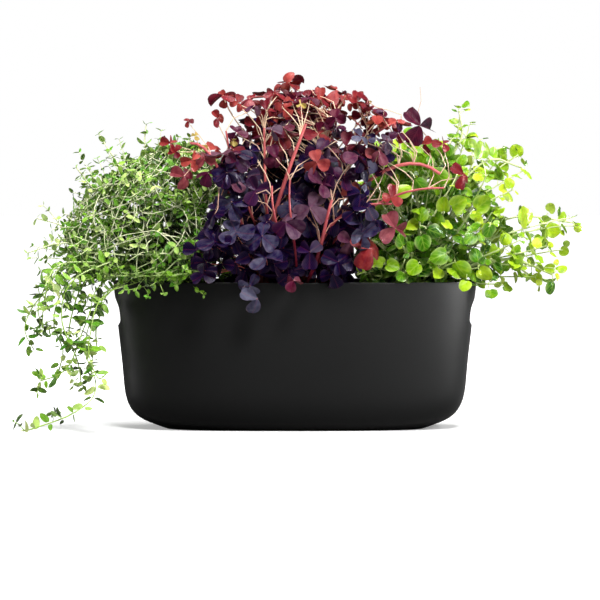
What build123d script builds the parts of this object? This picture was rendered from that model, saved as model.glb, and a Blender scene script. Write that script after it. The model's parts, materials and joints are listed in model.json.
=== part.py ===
from build123d import *
import os
from math import copysign, cos, pi, sin

# Indoor herb planter: an oblong tub with a grip at each end, a deck that lifts out of it, and three
# grow pots that hang in the deck and drink from the reservoir below through wicks. The pots hold
# thyme, wood sorrel and watercress.
# Millimetres. The origin is the centre of the tub's flat base, +X runs along the tub, -Y is the
# front and +Z is up.

os.makedirs("parts", exist_ok=True)

# Tub: overall sizes at the rim, at the top of the rounded underside and at the flat base.
TUB_LENGTH = 370.0
TUB_DEPTH = 146.0
TUB_HEIGHT = 150.0
SHOULDER_HEIGHT = 34.6
SHOULDER_LENGTH = 345.6
SHOULDER_DEPTH = 132.0
BASE_LENGTH = 263.0
BASE_DEPTH = 94.0
BODY_WALL = 4.4
RIM_WALL = 2.4
FLOOR_THICKNESS = 4.0
LEDGE_DROP = 11.5
RIM_ROUNDING = 0.9
PLAN_ROUNDNESS = 3.0
OUTLINE_POINTS = 32
CUT_OVERRUN = 5.0

# How the underside curves in: share of the shoulder's height, share of the inset from shoulder to base.
UNDERSIDE_SHARES = ((0.0, 1.0), (0.124, 0.712), (0.295, 0.39), (0.471, 0.208), (0.647, 0.104), (0.82, 0.04))
# Levels between the shoulder and the rim, as shares of that height.
SIDE_LEVEL_SHARES = (0.0, 0.25, 0.5, 0.75, 1.0)

# Grip: a cove under the rim at each end that stops on a small ledge.
GRIP_HEIGHT = 34.0
GRIP_DROP = 12.0
GRIP_DEPTH = 4.4
GRIP_WALL = 2.6
# The cove's section from its ledge up: share of the depth, share of the height. It starts and ends
# outside the wall, so that it meets it in clean edges.
GRIP_SECTION_SHARES = (
    (-0.3, 0.0),
    (0.4, 0.07),
    (0.93, 0.19),
    (1.0, 0.3),
    (1.0, 0.45),
    (0.84, 0.62),
    (0.48, 0.76),
    (0.12, 0.88),
    (-0.25, 1.0),
)

# Grow pots and the deck that carries them.
POT_TOP_RADIUS = 53.5
POT_BASE_RADIUS = 42.0
POT_HANG = 103.0
POT_WALL = 1.6
POT_FLOOR = 2.0
FLANGE_WIDTH = 3.0
FLANGE_THICKNESS = 1.8
FLANGE_GAP = 4.0
DRAIN_RADIUS = 3.0
DRAIN_COUNT = 6
DRAIN_CIRCLE_RADIUS = 27.0
DECK_THICKNESS = 2.6
DECK_CLEARANCE = 0.5
HOLE_CLEARANCE = 0.5
COLLAR_WALL = 1.6
COLLAR_HEIGHT = 8.0
FINGER_HOLE_RADIUS = 10.0
FINGER_HOLE_INSET = 16.0

# Wick: a strip of felt that stands in the soil, drops through the pot's floor and lies on the tub's floor.
WICK_WIDTH = 18.0
WICK_THICKNESS = 3.0
WICK_RISE = 45.0
WICK_FOOT = 26.0
WICK_BEND_RADIUS = 5.0
WICK_CLEARANCE = 0.3

# Soil.
SOIL_DROP = 5.0
SOIL_CLEARANCE = 0.3
SOIL_EDGE = 3.0

# Foliage: what is common to the three plants. Places in the tables below are shares of the reach,
# sideways from the pot's centre, and of the growth, up from just above the rim.
PLANT_REACH = 100.0
PLANT_GROWTH = 200.0
SOFT_CLEARANCE = 0.4
NECK_CLEARANCE = 4.0
RIM_CLEARANCE = 3.0
CROWN_POINTS = 28
CROWN_LOBES = 5
LOBE_SHARE = 0.12
SOCKET_CLEARANCE = 0.3
STEM_BEND_RADIUS = 15.0
LEAF_THICKNESS = 0.8

# Crowns, level by level: share of the growth, then shares of the reach to the left, right, front and back.
THYME_CROWN_SHARES = (
    (0.025, 0.96, 0.52, 0.8, 0.82),
    (0.16, 1.08, 0.51, 0.8, 0.88),
    (0.3, 1.06, 0.5, 0.77, 0.86),
    (0.44, 0.8, 0.48, 0.7, 0.7),
    (0.56, 0.46, 0.38, 0.48, 0.46),
    (0.63, 0.16, 0.18, 0.2, 0.2),
)
SORREL_CROWN_SHARES = (
    (0.035, 0.56, 0.56, 0.88, 0.76),
    (0.235, 0.56, 0.56, 0.92, 0.75),
    (0.485, 0.54, 0.54, 0.88, 0.7),
    (0.68, 0.44, 0.44, 0.66, 0.52),
    (0.82, 0.28, 0.28, 0.36, 0.32),
    (0.89, 0.12, 0.12, 0.13, 0.13),
)
CRESS_CROWN_SHARES = (
    (0.035, 0.52, 0.8, 0.68, 0.84),
    (0.235, 0.51, 1.04, 0.68, 0.84),
    (0.42, 0.49, 0.82, 0.62, 0.74),
    (0.56, 0.38, 0.5, 0.46, 0.5),
    (0.64, 0.18, 0.2, 0.2, 0.2),
)

# Thyme: wiry stems with small pointed leaves in pairs.
THYME_STEM_RADIUS = 0.8
THYME_LEAF_LENGTH = 9.0
THYME_LEAF_WIDTH = 5.0
THYME_LEAF_SPACING = 11.0
THYME_SPRIG_SHARES = (
    ((-0.7, -0.2, 0.12), (-1.15, -0.3, 0.18), (-1.52, -0.4, 0.13)),
    ((-0.7, 0.1, 0.14), (-1.2, 0.15, 0.26), (-1.48, 0.2, 0.3)),
    ((-0.6, 0.0, 0.28), (-0.9, -0.05, 0.46), (-1.05, -0.1, 0.56)),
    ((-0.45, -0.1, 0.45), (-0.68, -0.15, 0.62), (-0.82, -0.1, 0.73)),
    ((-0.25, 0.0, 0.5), (-0.36, 0.05, 0.66), (-0.35, 0.1, 0.78)),
    ((-0.1, -0.25, 0.48), (-0.05, -0.42, 0.63), (0.0, -0.5, 0.71)),
    ((-0.4, 0.5, 0.25), (-0.6, 0.95, 0.35), (-0.75, 1.12, 0.33)),
    ((0.1, 0.4, 0.3), (0.26, 0.85, 0.47), (0.3, 1.02, 0.56)),
    ((-0.7, 0.4, 0.15), (-1.15, 0.7, 0.2), (-1.38, 0.85, 0.15)),
    ((-0.65, -0.4, 0.08), (-1.15, -0.8, 0.08), (-1.3, -0.95, -0.03)),
)
# Trailing stems: shares of the reach beyond the tub's left end and from its middle, share of its height.
THYME_TRAIL_SHARES = (
    (
        (-0.45, -0.2, 1.17),
        (0.05, -0.5, 1.06),
        (0.19, -0.62, 0.81),
        (0.27, -0.75, 0.59),
        (0.17, -0.88, 0.32),
        (0.26, -1.04, 0.16),
        (0.48, -1.18, 0.12),
        (0.88, -1.28, 0.09),
    ),
    ((-0.25, 0.1, 1.23), (0.4, 0.0, 1.19), (0.62, -0.05, 1.0), (0.72, -0.1, 0.8), (0.72, -0.1, 0.66)),
    ((-0.2, -0.1, 1.15), (0.3, -0.25, 1.0), (0.45, -0.3, 0.72), (0.45, -0.3, 0.52)),
)

# Wood sorrel: leaves of three heart-shaped leaflets, on thin stalks and on arching fleshy stems.
SORREL_STALK_RADIUS = 1.0
SORREL_STEM_RADIUS = 2.0
SORREL_LEAFLET_LENGTH = 21.0
SORREL_HUB_RADIUS = 2.2
# Half a leaflet's outline from its base to its notch, as shares of its length.
LEAFLET_SHARES = ((0.0, 0.0), (0.42, 0.4), (0.85, 0.5), (1.0, 0.22), (0.84, 0.0))
SORREL_STALK_SHARES = (
    ((-0.26, -0.44, 0.58), (-0.6, -0.8, 0.8), (-0.71, -0.95, 0.91)),
    ((-0.2, -0.3, 0.65), (-0.38, -0.5, 0.82), (-0.45, -0.62, 0.9)),
    ((0.02, 0.0, 0.8), (-0.02, 0.02, 0.92), (-0.06, 0.0, 1.0)),
    ((-0.05, 0.1, 0.75), (-0.14, 0.28, 0.86), (-0.25, 0.42, 0.94)),
    ((0.15, -0.1, 0.75), (0.3, -0.22, 0.87), (0.42, -0.34, 0.95)),
    ((0.26, -0.44, 0.54), (0.6, -0.8, 0.76), (0.75, -0.98, 0.84)),
    ((0.1, 0.35, 0.55), (0.17, 0.75, 0.67), (0.2, 0.98, 0.76)),
    ((-0.1, 0.45, 0.4), (-0.2, 0.8, 0.46), (-0.25, 1.02, 0.55)),
    ((0.1, 0.45, 0.25), (0.24, 0.82, 0.3), (0.3, 1.02, 0.38)),
    ((0.2, 0.25, 0.65), (0.3, 0.5, 0.76), (0.35, 0.7, 0.88)),
)
# Leaves that face the front, and two that hang over the tub's rim.
SORREL_FRONT_SHARES = (
    ((0.2, -0.6, 0.22), (0.5, -1.0, 0.26), (0.72, -1.06, 0.17)),
    ((0.25, -0.54, 0.45), (0.5, -1.0, 0.5), (0.58, -1.06, 0.45)),
    ((-0.26, -0.62, 0.18), (-0.43, -1.0, 0.14), (-0.46, -1.04, 0.0)),
    ((0.0, -0.7, 0.18), (0.04, -1.0, 0.15), (0.04, -1.04, 0.02)),
    ((-0.3, -0.6, 0.35), (-0.55, -1.02, 0.36), (-0.62, -1.08, 0.28)),
)
SORREL_STEM_SHARES = (
    ((-0.3, -0.55, 0.4), (-0.8, -0.98, 0.58), (-1.28, -1.06, 0.68)),
    ((-0.25, -0.5, 0.5), (-0.75, -0.93, 0.7), (-1.07, -1.04, 0.82)),
    ((-0.3, -0.54, 0.25), (-0.8, -1.0, 0.38), (-1.18, -1.1, 0.46)),
    ((0.3, -0.5, 0.5), (0.9, -0.95, 0.68), (1.28, -0.98, 0.8)),
    ((0.3, -0.48, 0.4), (1.0, -0.95, 0.6), (1.3, -0.98, 0.6), (1.7, -0.98, 0.52)),
    ((0.28, -0.52, 0.3), (0.65, -0.93, 0.38), (1.0, -1.0, 0.32)),
)

# Watercress: juicy stems with round leaves.
CRESS_STEM_RADIUS = 1.1
CRESS_LEAF_LENGTH = 20.0
CRESS_LEAF_WIDTH = 17.0
CRESS_LEAF_SPACING = 17.0
CRESS_SPRIG_SHARES = (
    ((0.45, 0.0, 0.45), (0.8, -0.05, 0.6), (1.12, -0.1, 0.56)),
    ((0.3, 0.1, 0.48), (0.65, 0.25, 0.62), (0.95, 0.3, 0.66)),
    ((0.6, 0.1, 0.2), (1.1, 0.05, 0.31), (1.65, 0.0, 0.28)),
    ((0.6, -0.2, 0.06), (1.0, -0.3, 0.1), (1.42, -0.35, 0.02)),
    ((0.3, 0.0, 0.55), (0.52, 0.0, 0.7), (0.5, 0.0, 0.85)),
    ((0.2, 0.4, 0.3), (0.3, 0.85, 0.48), (0.35, 1.05, 0.5)),
    ((0.5, 0.4, 0.15), (0.9, 0.75, 0.22), (1.2, 0.95, 0.2)),
    ((0.0, -0.2, 0.5), (-0.1, -0.4, 0.62), (-0.12, -0.45, 0.7)),
    ((0.6, 0.2, 0.05), (1.05, 0.35, 0.06), (1.35, 0.4, -0.03)),
)


# Sizes that follow from those above.
LEDGE_HEIGHT = TUB_HEIGHT - LEDGE_DROP
DECK_TOP = LEDGE_HEIGHT + DECK_THICKNESS
FLANGE_RADIUS = POT_TOP_RADIUS + FLANGE_WIDTH
POT_PITCH = 2 * FLANGE_RADIUS + FLANGE_GAP
POT_BASE_HEIGHT = DECK_TOP - POT_HANG
POT_TOP_HEIGHT = DECK_TOP + FLANGE_THICKNESS
SOIL_TOP = POT_TOP_HEIGHT - SOIL_DROP
GRIP_TOP = TUB_HEIGHT - GRIP_DROP
GRIP_LEDGE = GRIP_TOP - GRIP_HEIGHT
CROWN_BASE = SOIL_TOP + SOFT_CLEARANCE
FOLIAGE_BASE = TUB_HEIGHT + RIM_CLEARANCE
PLANT_PLACES = {"thyme": -POT_PITCH, "sorrel": 0.0, "cress": POT_PITCH}


def half_sizes(height):
    """Half the tub's outer length and depth at a height above the shoulder."""
    share = (height - SHOULDER_HEIGHT) / (TUB_HEIGHT - SHOULDER_HEIGHT)
    length = SHOULDER_LENGTH + share * (TUB_LENGTH - SHOULDER_LENGTH)
    depth = SHOULDER_DEPTH + share * (TUB_DEPTH - SHOULDER_DEPTH)
    return length / 2, depth / 2


def oblong(half_length, half_depth, height):
    """A flat oblong face with softly rounded ends, level at the given height."""
    points = []
    for step in range(OUTLINE_POINTS):
        turn = 2 * pi * step / OUTLINE_POINTS
        across, along = cos(turn), sin(turn)
        x = copysign(abs(across) ** (2 / PLAN_ROUNDNESS), across) * half_length
        y = copysign(abs(along) ** (2 / PLAN_ROUNDNESS), along) * half_depth
        points.append((x, y, height))
    return make_face(Spline(*points, periodic=True))


def tub_form(inset, floor, top):
    """The tub's solid form drawn in by a wall on every side, from a floor height up to a top height."""
    sections = []
    for height_share, inset_share in UNDERSIDE_SHARES:
        height = floor + height_share * (SHOULDER_HEIGHT - floor)
        length = SHOULDER_LENGTH - inset_share * (SHOULDER_LENGTH - BASE_LENGTH)
        depth = SHOULDER_DEPTH - inset_share * (SHOULDER_DEPTH - BASE_DEPTH)
        sections.append(oblong(length / 2 - inset, depth / 2 - inset, height))
    for share in SIDE_LEVEL_SHARES:
        height = SHOULDER_HEIGHT + share * (top - SHOULDER_HEIGHT)
        half_length, half_depth = half_sizes(height)
        sections.append(oblong(half_length - inset, half_depth - inset, height))
    return loft(sections)


def rim_rebate():
    """The space inside the thin rim, from the ledge up past the top."""
    sections = []
    for height in (LEDGE_HEIGHT, TUB_HEIGHT + CUT_OVERRUN):
        half_length, half_depth = half_sizes(height)
        sections.append(oblong(half_length - RIM_WALL, half_depth - RIM_WALL, height))
    return loft(sections, ruled=True)


def grip_prism(wall):
    """What the grip takes away beyond its cove on the +X end; a wall moves the cove inwards."""
    cove = []
    for depth_share, height_share in GRIP_SECTION_SHARES:
        height = GRIP_LEDGE + height_share * GRIP_HEIGHT
        cove.append((half_sizes(height)[0] - depth_share * GRIP_DEPTH - wall, 0, height))
    far = half_sizes(GRIP_TOP)[0] + CUT_OVERRUN
    curve = Spline(*cove)
    back = Polyline(cove[-1], (far, 0, GRIP_TOP), (far, 0, GRIP_LEDGE), cove[0])
    return extrude(make_face([curve, back]), amount=TUB_DEPTH / 2, both=True)


def make_tub():
    """The outer tub: one wall, a thin rim above an inner ledge, and a grip at each end."""
    outside = tub_form(0, 0, TUB_HEIGHT)
    cut = grip_prism(0)
    outside = outside - cut - cut.mirror(Plane.YZ)
    inside = tub_form(BODY_WALL, FLOOR_THICKNESS, LEDGE_HEIGHT + RIM_ROUNDING)
    kept = grip_prism(GRIP_WALL)
    inside = inside - kept - kept.mirror(Plane.YZ)
    tub = outside - inside - rim_rebate()
    rim = tub.edges().filter_by(lambda edge: edge.center().Z > TUB_HEIGHT - RIM_ROUNDING / 2)
    return fillet(rim, RIM_ROUNDING)


def make_deck():
    """The lift-out deck: a plate on the tub's ledge with a collared hole for each pot and finger holes."""
    half_length, half_depth = half_sizes(LEDGE_HEIGHT)
    edge = RIM_WALL + DECK_CLEARANCE
    plate = extrude(oblong(half_length - edge, half_depth - edge, LEDGE_HEIGHT), amount=DECK_THICKNESS)
    hole_radius = POT_TOP_RADIUS + HOLE_CLEARANCE
    collar_middle = LEDGE_HEIGHT - COLLAR_HEIGHT / 2
    for place in PLANT_PLACES.values():
        collar = Cylinder(hole_radius + COLLAR_WALL, COLLAR_HEIGHT)
        plate += Pos(place, 0, collar_middle) * collar
    for place in PLANT_PLACES.values():
        through = Cylinder(hole_radius, 2 * (COLLAR_HEIGHT + DECK_THICKNESS) + CUT_OVERRUN)
        plate -= Pos(place, 0, LEDGE_HEIGHT) * through
    for side_x in (-1, 1):
        for side_y in (-1, 1):
            spot = Pos(side_x * POT_PITCH / 2, side_y * (half_depth - FINGER_HOLE_INSET), LEDGE_HEIGHT)
            plate -= spot * Cylinder(FINGER_HOLE_RADIUS, 2 * DECK_THICKNESS + CUT_OVERRUN)
    return plate


def pot_inner_radius(height):
    """The grow pot's inner radius at a height."""
    share = (height - POT_BASE_HEIGHT) / POT_HANG
    return POT_BASE_RADIUS + share * (POT_TOP_RADIUS - POT_BASE_RADIUS) - POT_WALL


def make_grow_pot(place):
    """A tapered pot with a flange at the top, drain holes and a slot for the wick in its floor."""
    floor_top = POT_BASE_HEIGHT + POT_FLOOR
    profile = make_face(
        Polyline(
            (0, POT_BASE_HEIGHT),
            (POT_BASE_RADIUS, POT_BASE_HEIGHT),
            (POT_TOP_RADIUS, DECK_TOP),
            (FLANGE_RADIUS, DECK_TOP),
            (FLANGE_RADIUS, POT_TOP_HEIGHT),
            (pot_inner_radius(POT_TOP_HEIGHT), POT_TOP_HEIGHT),
            (pot_inner_radius(floor_top), floor_top),
            (0, floor_top),
            close=True,
        )
    )
    pot = revolve(Plane.XZ * profile, Axis.Z)
    slot = Box(WICK_THICKNESS + 2 * WICK_CLEARANCE, WICK_WIDTH + 2 * WICK_CLEARANCE, POT_FLOOR + CUT_OVERRUN)
    pot -= Pos(0, 0, POT_BASE_HEIGHT + POT_FLOOR / 2) * slot
    drain = Cylinder(DRAIN_RADIUS, POT_FLOOR + CUT_OVERRUN)
    for spot in PolarLocations(DRAIN_CIRCLE_RADIUS, DRAIN_COUNT):
        pot -= Pos(0, 0, POT_BASE_HEIGHT + POT_FLOOR / 2) * spot * drain
    return Pos(place, 0, 0) * pot


def make_wick(place):
    """A felt strip from the soil down to the tub's floor, where its foot lies flat."""
    foot_height = FLOOR_THICKNESS + WICK_CLEARANCE + WICK_THICKNESS / 2
    top = POT_BASE_HEIGHT + POT_FLOOR + WICK_RISE
    toe = WICK_FOOT if place <= 0 else -WICK_FOOT
    line = FilletPolyline((0, top), (0, foot_height), (toe, foot_height), radius=WICK_BEND_RADIUS)
    strip = extrude(Plane.XZ * trace(line, WICK_THICKNESS), amount=WICK_WIDTH / 2, both=True)
    return Pos(place, 0, 0) * strip


def make_soil(place):
    """The root ball and soil: it fills the pot, has a softened top edge and a slit for the wick."""
    bottom = POT_BASE_HEIGHT + POT_FLOOR
    profile = make_face(
        Polyline(
            (0, bottom),
            (pot_inner_radius(bottom) - SOIL_CLEARANCE, bottom),
            (pot_inner_radius(SOIL_TOP - SOIL_EDGE) - SOIL_CLEARANCE, SOIL_TOP - SOIL_EDGE),
            (pot_inner_radius(SOIL_TOP) - SOIL_CLEARANCE - SOIL_EDGE, SOIL_TOP),
            (0, SOIL_TOP),
            close=True,
        )
    )
    soil = revolve(Plane.XZ * profile, Axis.Z)
    slit_height = WICK_RISE + WICK_CLEARANCE
    slit = Box(WICK_THICKNESS + 2 * WICK_CLEARANCE, WICK_WIDTH + 2 * WICK_CLEARANCE, 2 * slit_height)
    soil -= Pos(0, 0, bottom) * slit
    return Pos(place, 0, 0) * soil


def crown_outline(radii, height, turn):
    """A level lobed outline through the reaches to the right, back, left and front."""
    right, back, left, front = radii
    points = []
    for step in range(CROWN_POINTS):
        angle = 2 * pi * step / CROWN_POINTS
        reach_x = right if cos(angle) > 0 else left
        reach_y = back if sin(angle) > 0 else front
        oval = 1 / ((cos(angle) / reach_x) ** 2 + (sin(angle) / reach_y) ** 2) ** (1 / 2)
        reach = oval * (1 - LOBE_SHARE * (1 + sin(CROWN_LOBES * angle + turn)) / 2)
        points.append((reach * cos(angle), reach * sin(angle), height))
    return make_face(Polyline(*points, close=True))


def make_crown(place, level_shares):
    """The dense heart of a plant: a neck that stands in the pot and a lobed crown above the rim."""
    neck = pot_inner_radius(SOIL_TOP) - NECK_CLEARANCE
    sections = [crown_outline([neck] * 4, height, 0) for height in (CROWN_BASE, FOLIAGE_BASE)]
    for turn, (height_share, left, right, front, back) in enumerate(level_shares):
        radii = [share * PLANT_REACH for share in (right, back, left, front)]
        sections.append(crown_outline(radii, FOLIAGE_BASE + height_share * PLANT_GROWTH, turn))
    return Pos(place, 0, 0) * loft(sections, ruled=True)


def growth_routes(place, tables):
    """Stem routes from tables of shares of the reach and the growth."""
    routes = []
    for shares in tables:
        points = []
        for x, y, z in shares:
            points.append((place + x * PLANT_REACH, y * PLANT_REACH, FOLIAGE_BASE + z * PLANT_GROWTH))
        routes.append(FilletPolyline(*points, radius=STEM_BEND_RADIUS))
    return routes


def trail_routes(tables):
    """Stem routes for the stems that trail over the tub's left end."""
    end = -TUB_LENGTH / 2
    routes = []
    for shares in tables:
        points = [(end - x * PLANT_REACH, y * PLANT_REACH, z * TUB_HEIGHT) for x, y, z in shares]
        routes.append(FilletPolyline(*points, radius=STEM_BEND_RADIUS))
    return routes


def stem(route, radius):
    """A round stem along a route."""
    return sweep(Plane(origin=route @ 0, z_dir=route % 0) * Circle(radius), route)


def leafy_stem(route, radius, blade, spacing, crown):
    """A stem with pairs of leaves, each pair turned against the last, wherever it is clear of the crown."""
    reach = blade.bounding_box().max.X
    count = int(route.length / spacing)
    leaves = []
    for step in range(count):
        share = (step + 1 / 2) / count
        spot = route @ share
        along = route % share
        level = along.cross(Vector(0, 0, 1)).normalized()
        across = level if step % 2 else along.cross(level)
        if not crown.is_inside(spot) and crown.distance_to(Vertex(spot)) > reach:
            leaves += [Plane(origin=spot, x_dir=across * side, z_dir=along) * blade for side in (-1, 1)]
    return stem(route, radius).fuse(*leaves)


def oval_leaf(length, width):
    """A flat oval leaf that grows from the origin along +X."""
    outline = Pos(length / 2, 0, 0) * Ellipse(length / 2, width / 2)
    return extrude(outline, amount=LEAF_THICKNESS / 2, both=True)


def sorrel_leaf(route, facing):
    """Three heart-shaped leaflets round a hub at the end of a route, turned towards a direction."""
    outline = [(x * SORREL_LEAFLET_LENGTH, y * SORREL_LEAFLET_LENGTH) for x, y in LEAFLET_SHARES]
    half = Spline(*outline)
    leaflet = extrude(make_face([half, half.mirror(Plane.XZ)]), amount=LEAF_THICKNESS / 2, both=True)
    plane = Plane(origin=route @ 1, z_dir=(route % 1 + facing * 2))
    hub = plane * Cylinder(SORREL_HUB_RADIUS, SORREL_HUB_RADIUS)
    leaflets = [plane * Rot(0, 0, turn) * leaflet for turn in (0, 120, 240)]
    return hub, *leaflets


def stalk_with_leaf(route, radius, facing):
    """A stalk that ends in one leaf of three leaflets."""
    return stem(route, radius).fuse(*sorrel_leaf(route, facing))


def with_sockets(crown, routes, radius):
    """A crown with a clear socket for each stem that stands in it."""
    return crown.cut(*[stem(route, radius + SOCKET_CLEARANCE) for route in routes])


def add_thyme(parts):
    """Thyme: its crown, free sprigs and the stems that trail over the tub's end."""
    sprigs = growth_routes(PLANT_PLACES["thyme"], THYME_SPRIG_SHARES)
    trails = trail_routes(THYME_TRAIL_SHARES)
    crown = make_crown(PLANT_PLACES["thyme"], THYME_CROWN_SHARES)
    growth = (THYME_STEM_RADIUS, oval_leaf(THYME_LEAF_LENGTH, THYME_LEAF_WIDTH), THYME_LEAF_SPACING, crown)
    parts["thyme_crown"] = with_sockets(crown, sprigs + trails, THYME_STEM_RADIUS)
    parts["thyme_sprigs"] = Compound([leafy_stem(route, *growth) for route in sprigs])
    parts["thyme_trailing_sprigs"] = Compound([leafy_stem(route, *growth) for route in trails])


def add_sorrel(parts):
    """Wood sorrel: its crown, leaves on thin stalks and leaves on arching stems."""
    rising = growth_routes(PLANT_PLACES["sorrel"], SORREL_STALK_SHARES)
    front = growth_routes(PLANT_PLACES["sorrel"], SORREL_FRONT_SHARES)
    arching = growth_routes(PLANT_PLACES["sorrel"], SORREL_STEM_SHARES)
    up, forward = Vector(0, 0, 1), Vector(0, -1, 0)
    crown = make_crown(PLANT_PLACES["sorrel"], SORREL_CROWN_SHARES)
    crown = with_sockets(crown, rising + front, SORREL_STALK_RADIUS)
    stalks = [stalk_with_leaf(route, SORREL_STALK_RADIUS, up) for route in rising]
    stalks += [stalk_with_leaf(route, SORREL_STALK_RADIUS, forward) for route in front]
    stems = [stalk_with_leaf(route, SORREL_STEM_RADIUS, up) for route in arching]
    parts["sorrel_crown"] = with_sockets(crown, arching, SORREL_STEM_RADIUS)
    parts["sorrel_leaf_stalks"] = Compound(stalks)
    parts["sorrel_arching_stems"] = Compound(stems)


def add_cress(parts):
    """Watercress: its crown and free sprigs."""
    sprigs = growth_routes(PLANT_PLACES["cress"], CRESS_SPRIG_SHARES)
    crown = make_crown(PLANT_PLACES["cress"], CRESS_CROWN_SHARES)
    growth = (CRESS_STEM_RADIUS, oval_leaf(CRESS_LEAF_LENGTH, CRESS_LEAF_WIDTH), CRESS_LEAF_SPACING, crown)
    parts["cress_crown"] = with_sockets(crown, sprigs, CRESS_STEM_RADIUS)
    parts["cress_sprigs"] = Compound([leafy_stem(route, *growth) for route in sprigs])


parts = {"outer_tub": make_tub(), "lift_out_deck": make_deck()}
for plant, place in PLANT_PLACES.items():
    parts[plant + "_grow_pot"] = make_grow_pot(place)
    parts[plant + "_wick"] = make_wick(place)
    parts[plant + "_soil"] = make_soil(place)
add_thyme(parts)
add_sorrel(parts)
add_cress(parts)

for name, shape in parts.items():
    export_step(shape, "parts/" + name + ".step")
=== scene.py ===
"""Looks of the indoor herb planter: its black tub, inner pots and three herbs, in metres."""

import json
import logging
import math
import random
from collections import defaultdict
from collections.abc import Callable, Sequence
from dataclasses import dataclass, field
from enum import Enum

import bmesh
import bpy
import numpy as np
from mathutils import Matrix, Vector, noise

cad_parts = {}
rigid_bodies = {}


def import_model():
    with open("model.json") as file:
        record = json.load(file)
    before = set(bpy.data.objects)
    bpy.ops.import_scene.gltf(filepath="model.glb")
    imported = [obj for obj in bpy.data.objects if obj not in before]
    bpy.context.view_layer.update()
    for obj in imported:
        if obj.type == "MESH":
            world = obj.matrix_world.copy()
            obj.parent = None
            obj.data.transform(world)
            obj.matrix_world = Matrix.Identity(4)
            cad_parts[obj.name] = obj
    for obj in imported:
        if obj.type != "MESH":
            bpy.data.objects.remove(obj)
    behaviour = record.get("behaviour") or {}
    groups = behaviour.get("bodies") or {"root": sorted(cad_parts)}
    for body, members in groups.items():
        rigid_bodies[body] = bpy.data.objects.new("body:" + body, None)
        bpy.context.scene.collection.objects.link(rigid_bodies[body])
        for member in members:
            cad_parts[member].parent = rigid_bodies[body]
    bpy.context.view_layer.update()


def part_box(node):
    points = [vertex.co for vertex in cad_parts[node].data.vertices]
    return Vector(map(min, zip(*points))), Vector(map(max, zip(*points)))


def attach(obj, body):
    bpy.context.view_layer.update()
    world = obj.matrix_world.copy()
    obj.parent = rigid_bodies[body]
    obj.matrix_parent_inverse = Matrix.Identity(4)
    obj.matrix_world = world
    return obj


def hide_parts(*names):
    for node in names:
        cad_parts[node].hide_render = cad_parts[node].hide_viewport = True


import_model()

LOG = logging.getLogger("herb_planter")

Material, Node, NodeTree, Socket = bpy.types.Material, bpy.types.Node, bpy.types.NodeTree, bpy.types.NodeSocket
Colour = tuple[float, float, float]
Route = Sequence[Vector]
Triples = tuple[tuple[float, float, float], ...]
Places = list[tuple[Vector, float, float, float]]
UP = Vector((0.0, 0.0, 1.0))
FRONT = Vector((0.0, -1.0, 0.0))
MM = 0.001
TINY = 1e-4
LEAF_MAP = "leaf"

# The pots stand this far apart, and their soil ends at this height.
POT_PITCH = 0.117
SOIL_TOP = 0.1384
ROOT_RADIUS = 0.040
# The plants' forms are shares of a reach to the side and of a growth above a base, as on the solid model.
REACH, GROWTH, GROWTH_BASE = 0.1, 0.2, 0.153


@dataclass(frozen=True)
class Viewpoint:
    """Where the photograph was taken from.

    The image is 600 pixels square, the camera stands in front of the tub and looks slightly down.
    """

    distance: float = 3.0
    x: float = 0.005
    height: float = 0.247
    aim_height: float = 0.130
    focal_px: float = 2944.0
    frame_px: float = 600.0
    sensor_mm: float = 36.0

    def eye(self) -> Vector:
        """The camera's place."""
        return Vector((self.x, -self.distance, self.height))

    def axes(self) -> tuple[Vector, Vector, Vector]:
        """The camera's right, up and forward directions."""
        forward = (Vector((self.x, 0.0, self.aim_height)) - self.eye()).normalized()
        right = forward.cross(UP).normalized()
        return right, right.cross(forward), forward

    def pixel(self, point: Vector) -> tuple[float, float]:
        """The pixel that a point is seen at.

        Args:
            point: A place in the scene.

        Returns:
            Its pixel to the right and down from the image's corner.
        """
        right, up, forward = self.axes()
        seen = point - self.eye()
        away = seen.dot(forward)
        half = self.frame_px / 2
        return half + seen.dot(right) / away * self.focal_px, half - seen.dot(up) / away * self.focal_px

    def place(self, px: float, py: float, depth: float) -> Vector:
        """The point that a pixel shows at a depth.

        Args:
            px: Column of the pixel.
            py: Row of the pixel, counted down.
            depth: The point's y in metres; negative is nearer to the camera.

        Returns:
            The point in the planter's frame.
        """
        right, up, forward = self.axes()
        half = self.frame_px / 2
        ray = forward + right * ((px - half) / self.focal_px) + up * ((half - py) / self.focal_px)
        eye = self.eye()
        return eye + ray * ((depth - eye.y) / ray.y)


VIEW = Viewpoint()


class Plant(Enum):
    """The three herbs, by the body that each one rides on."""

    THYME = "thyme_pot"
    SORREL = "sorrel_pot"
    CRESS = "cress_pot"


def bezier(points: Route, share: float) -> Vector:
    """A point on the Bezier curve of any number of control points.

    Args:
        points: Control points, from first to last.
        share: How far along, from 0 to 1.

    Returns:
        The point.
    """
    row = [point.copy() for point in points]
    while len(row) > 1:
        row = [a.lerp(b, share) for a, b in zip(row, row[1:])]
    return row[0]


def bezier_direction(points: Route, share: float) -> Vector:
    """The direction of travel on a Bezier curve.

    Args:
        points: Control points, from first to last.
        share: How far along, from 0 to 1.

    Returns:
        A unit vector.
    """
    step = 0.02
    low, high = max(share - step, 0.0), min(share + step, 1.0)
    return (bezier(points, high) - bezier(points, low)).normalized()


def bezier_length(points: Route) -> float:
    """The length of a Bezier curve, from eight chords."""
    chords = 8
    row = [bezier(points, step / chords) for step in range(chords + 1)]
    return sum((b - a).length for a, b in zip(row, row[1:]))


def smooth_pieces(points: Route) -> list[list[Vector]]:
    """Cubic pieces of a smooth curve that passes through every point.

    Args:
        points: The points in order.

    Returns:
        Four control points for each stretch between two points.
    """
    ends = [points[0] * 2 - points[1], *points, points[-1] * 2 - points[-2]]
    pieces = []
    for before, start, end, after in zip(ends, ends[1:], ends[2:], ends[3:]):
        pieces.append([start, start + (end - before) / 6, end - (after - start) / 6, end])
    return pieces


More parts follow.
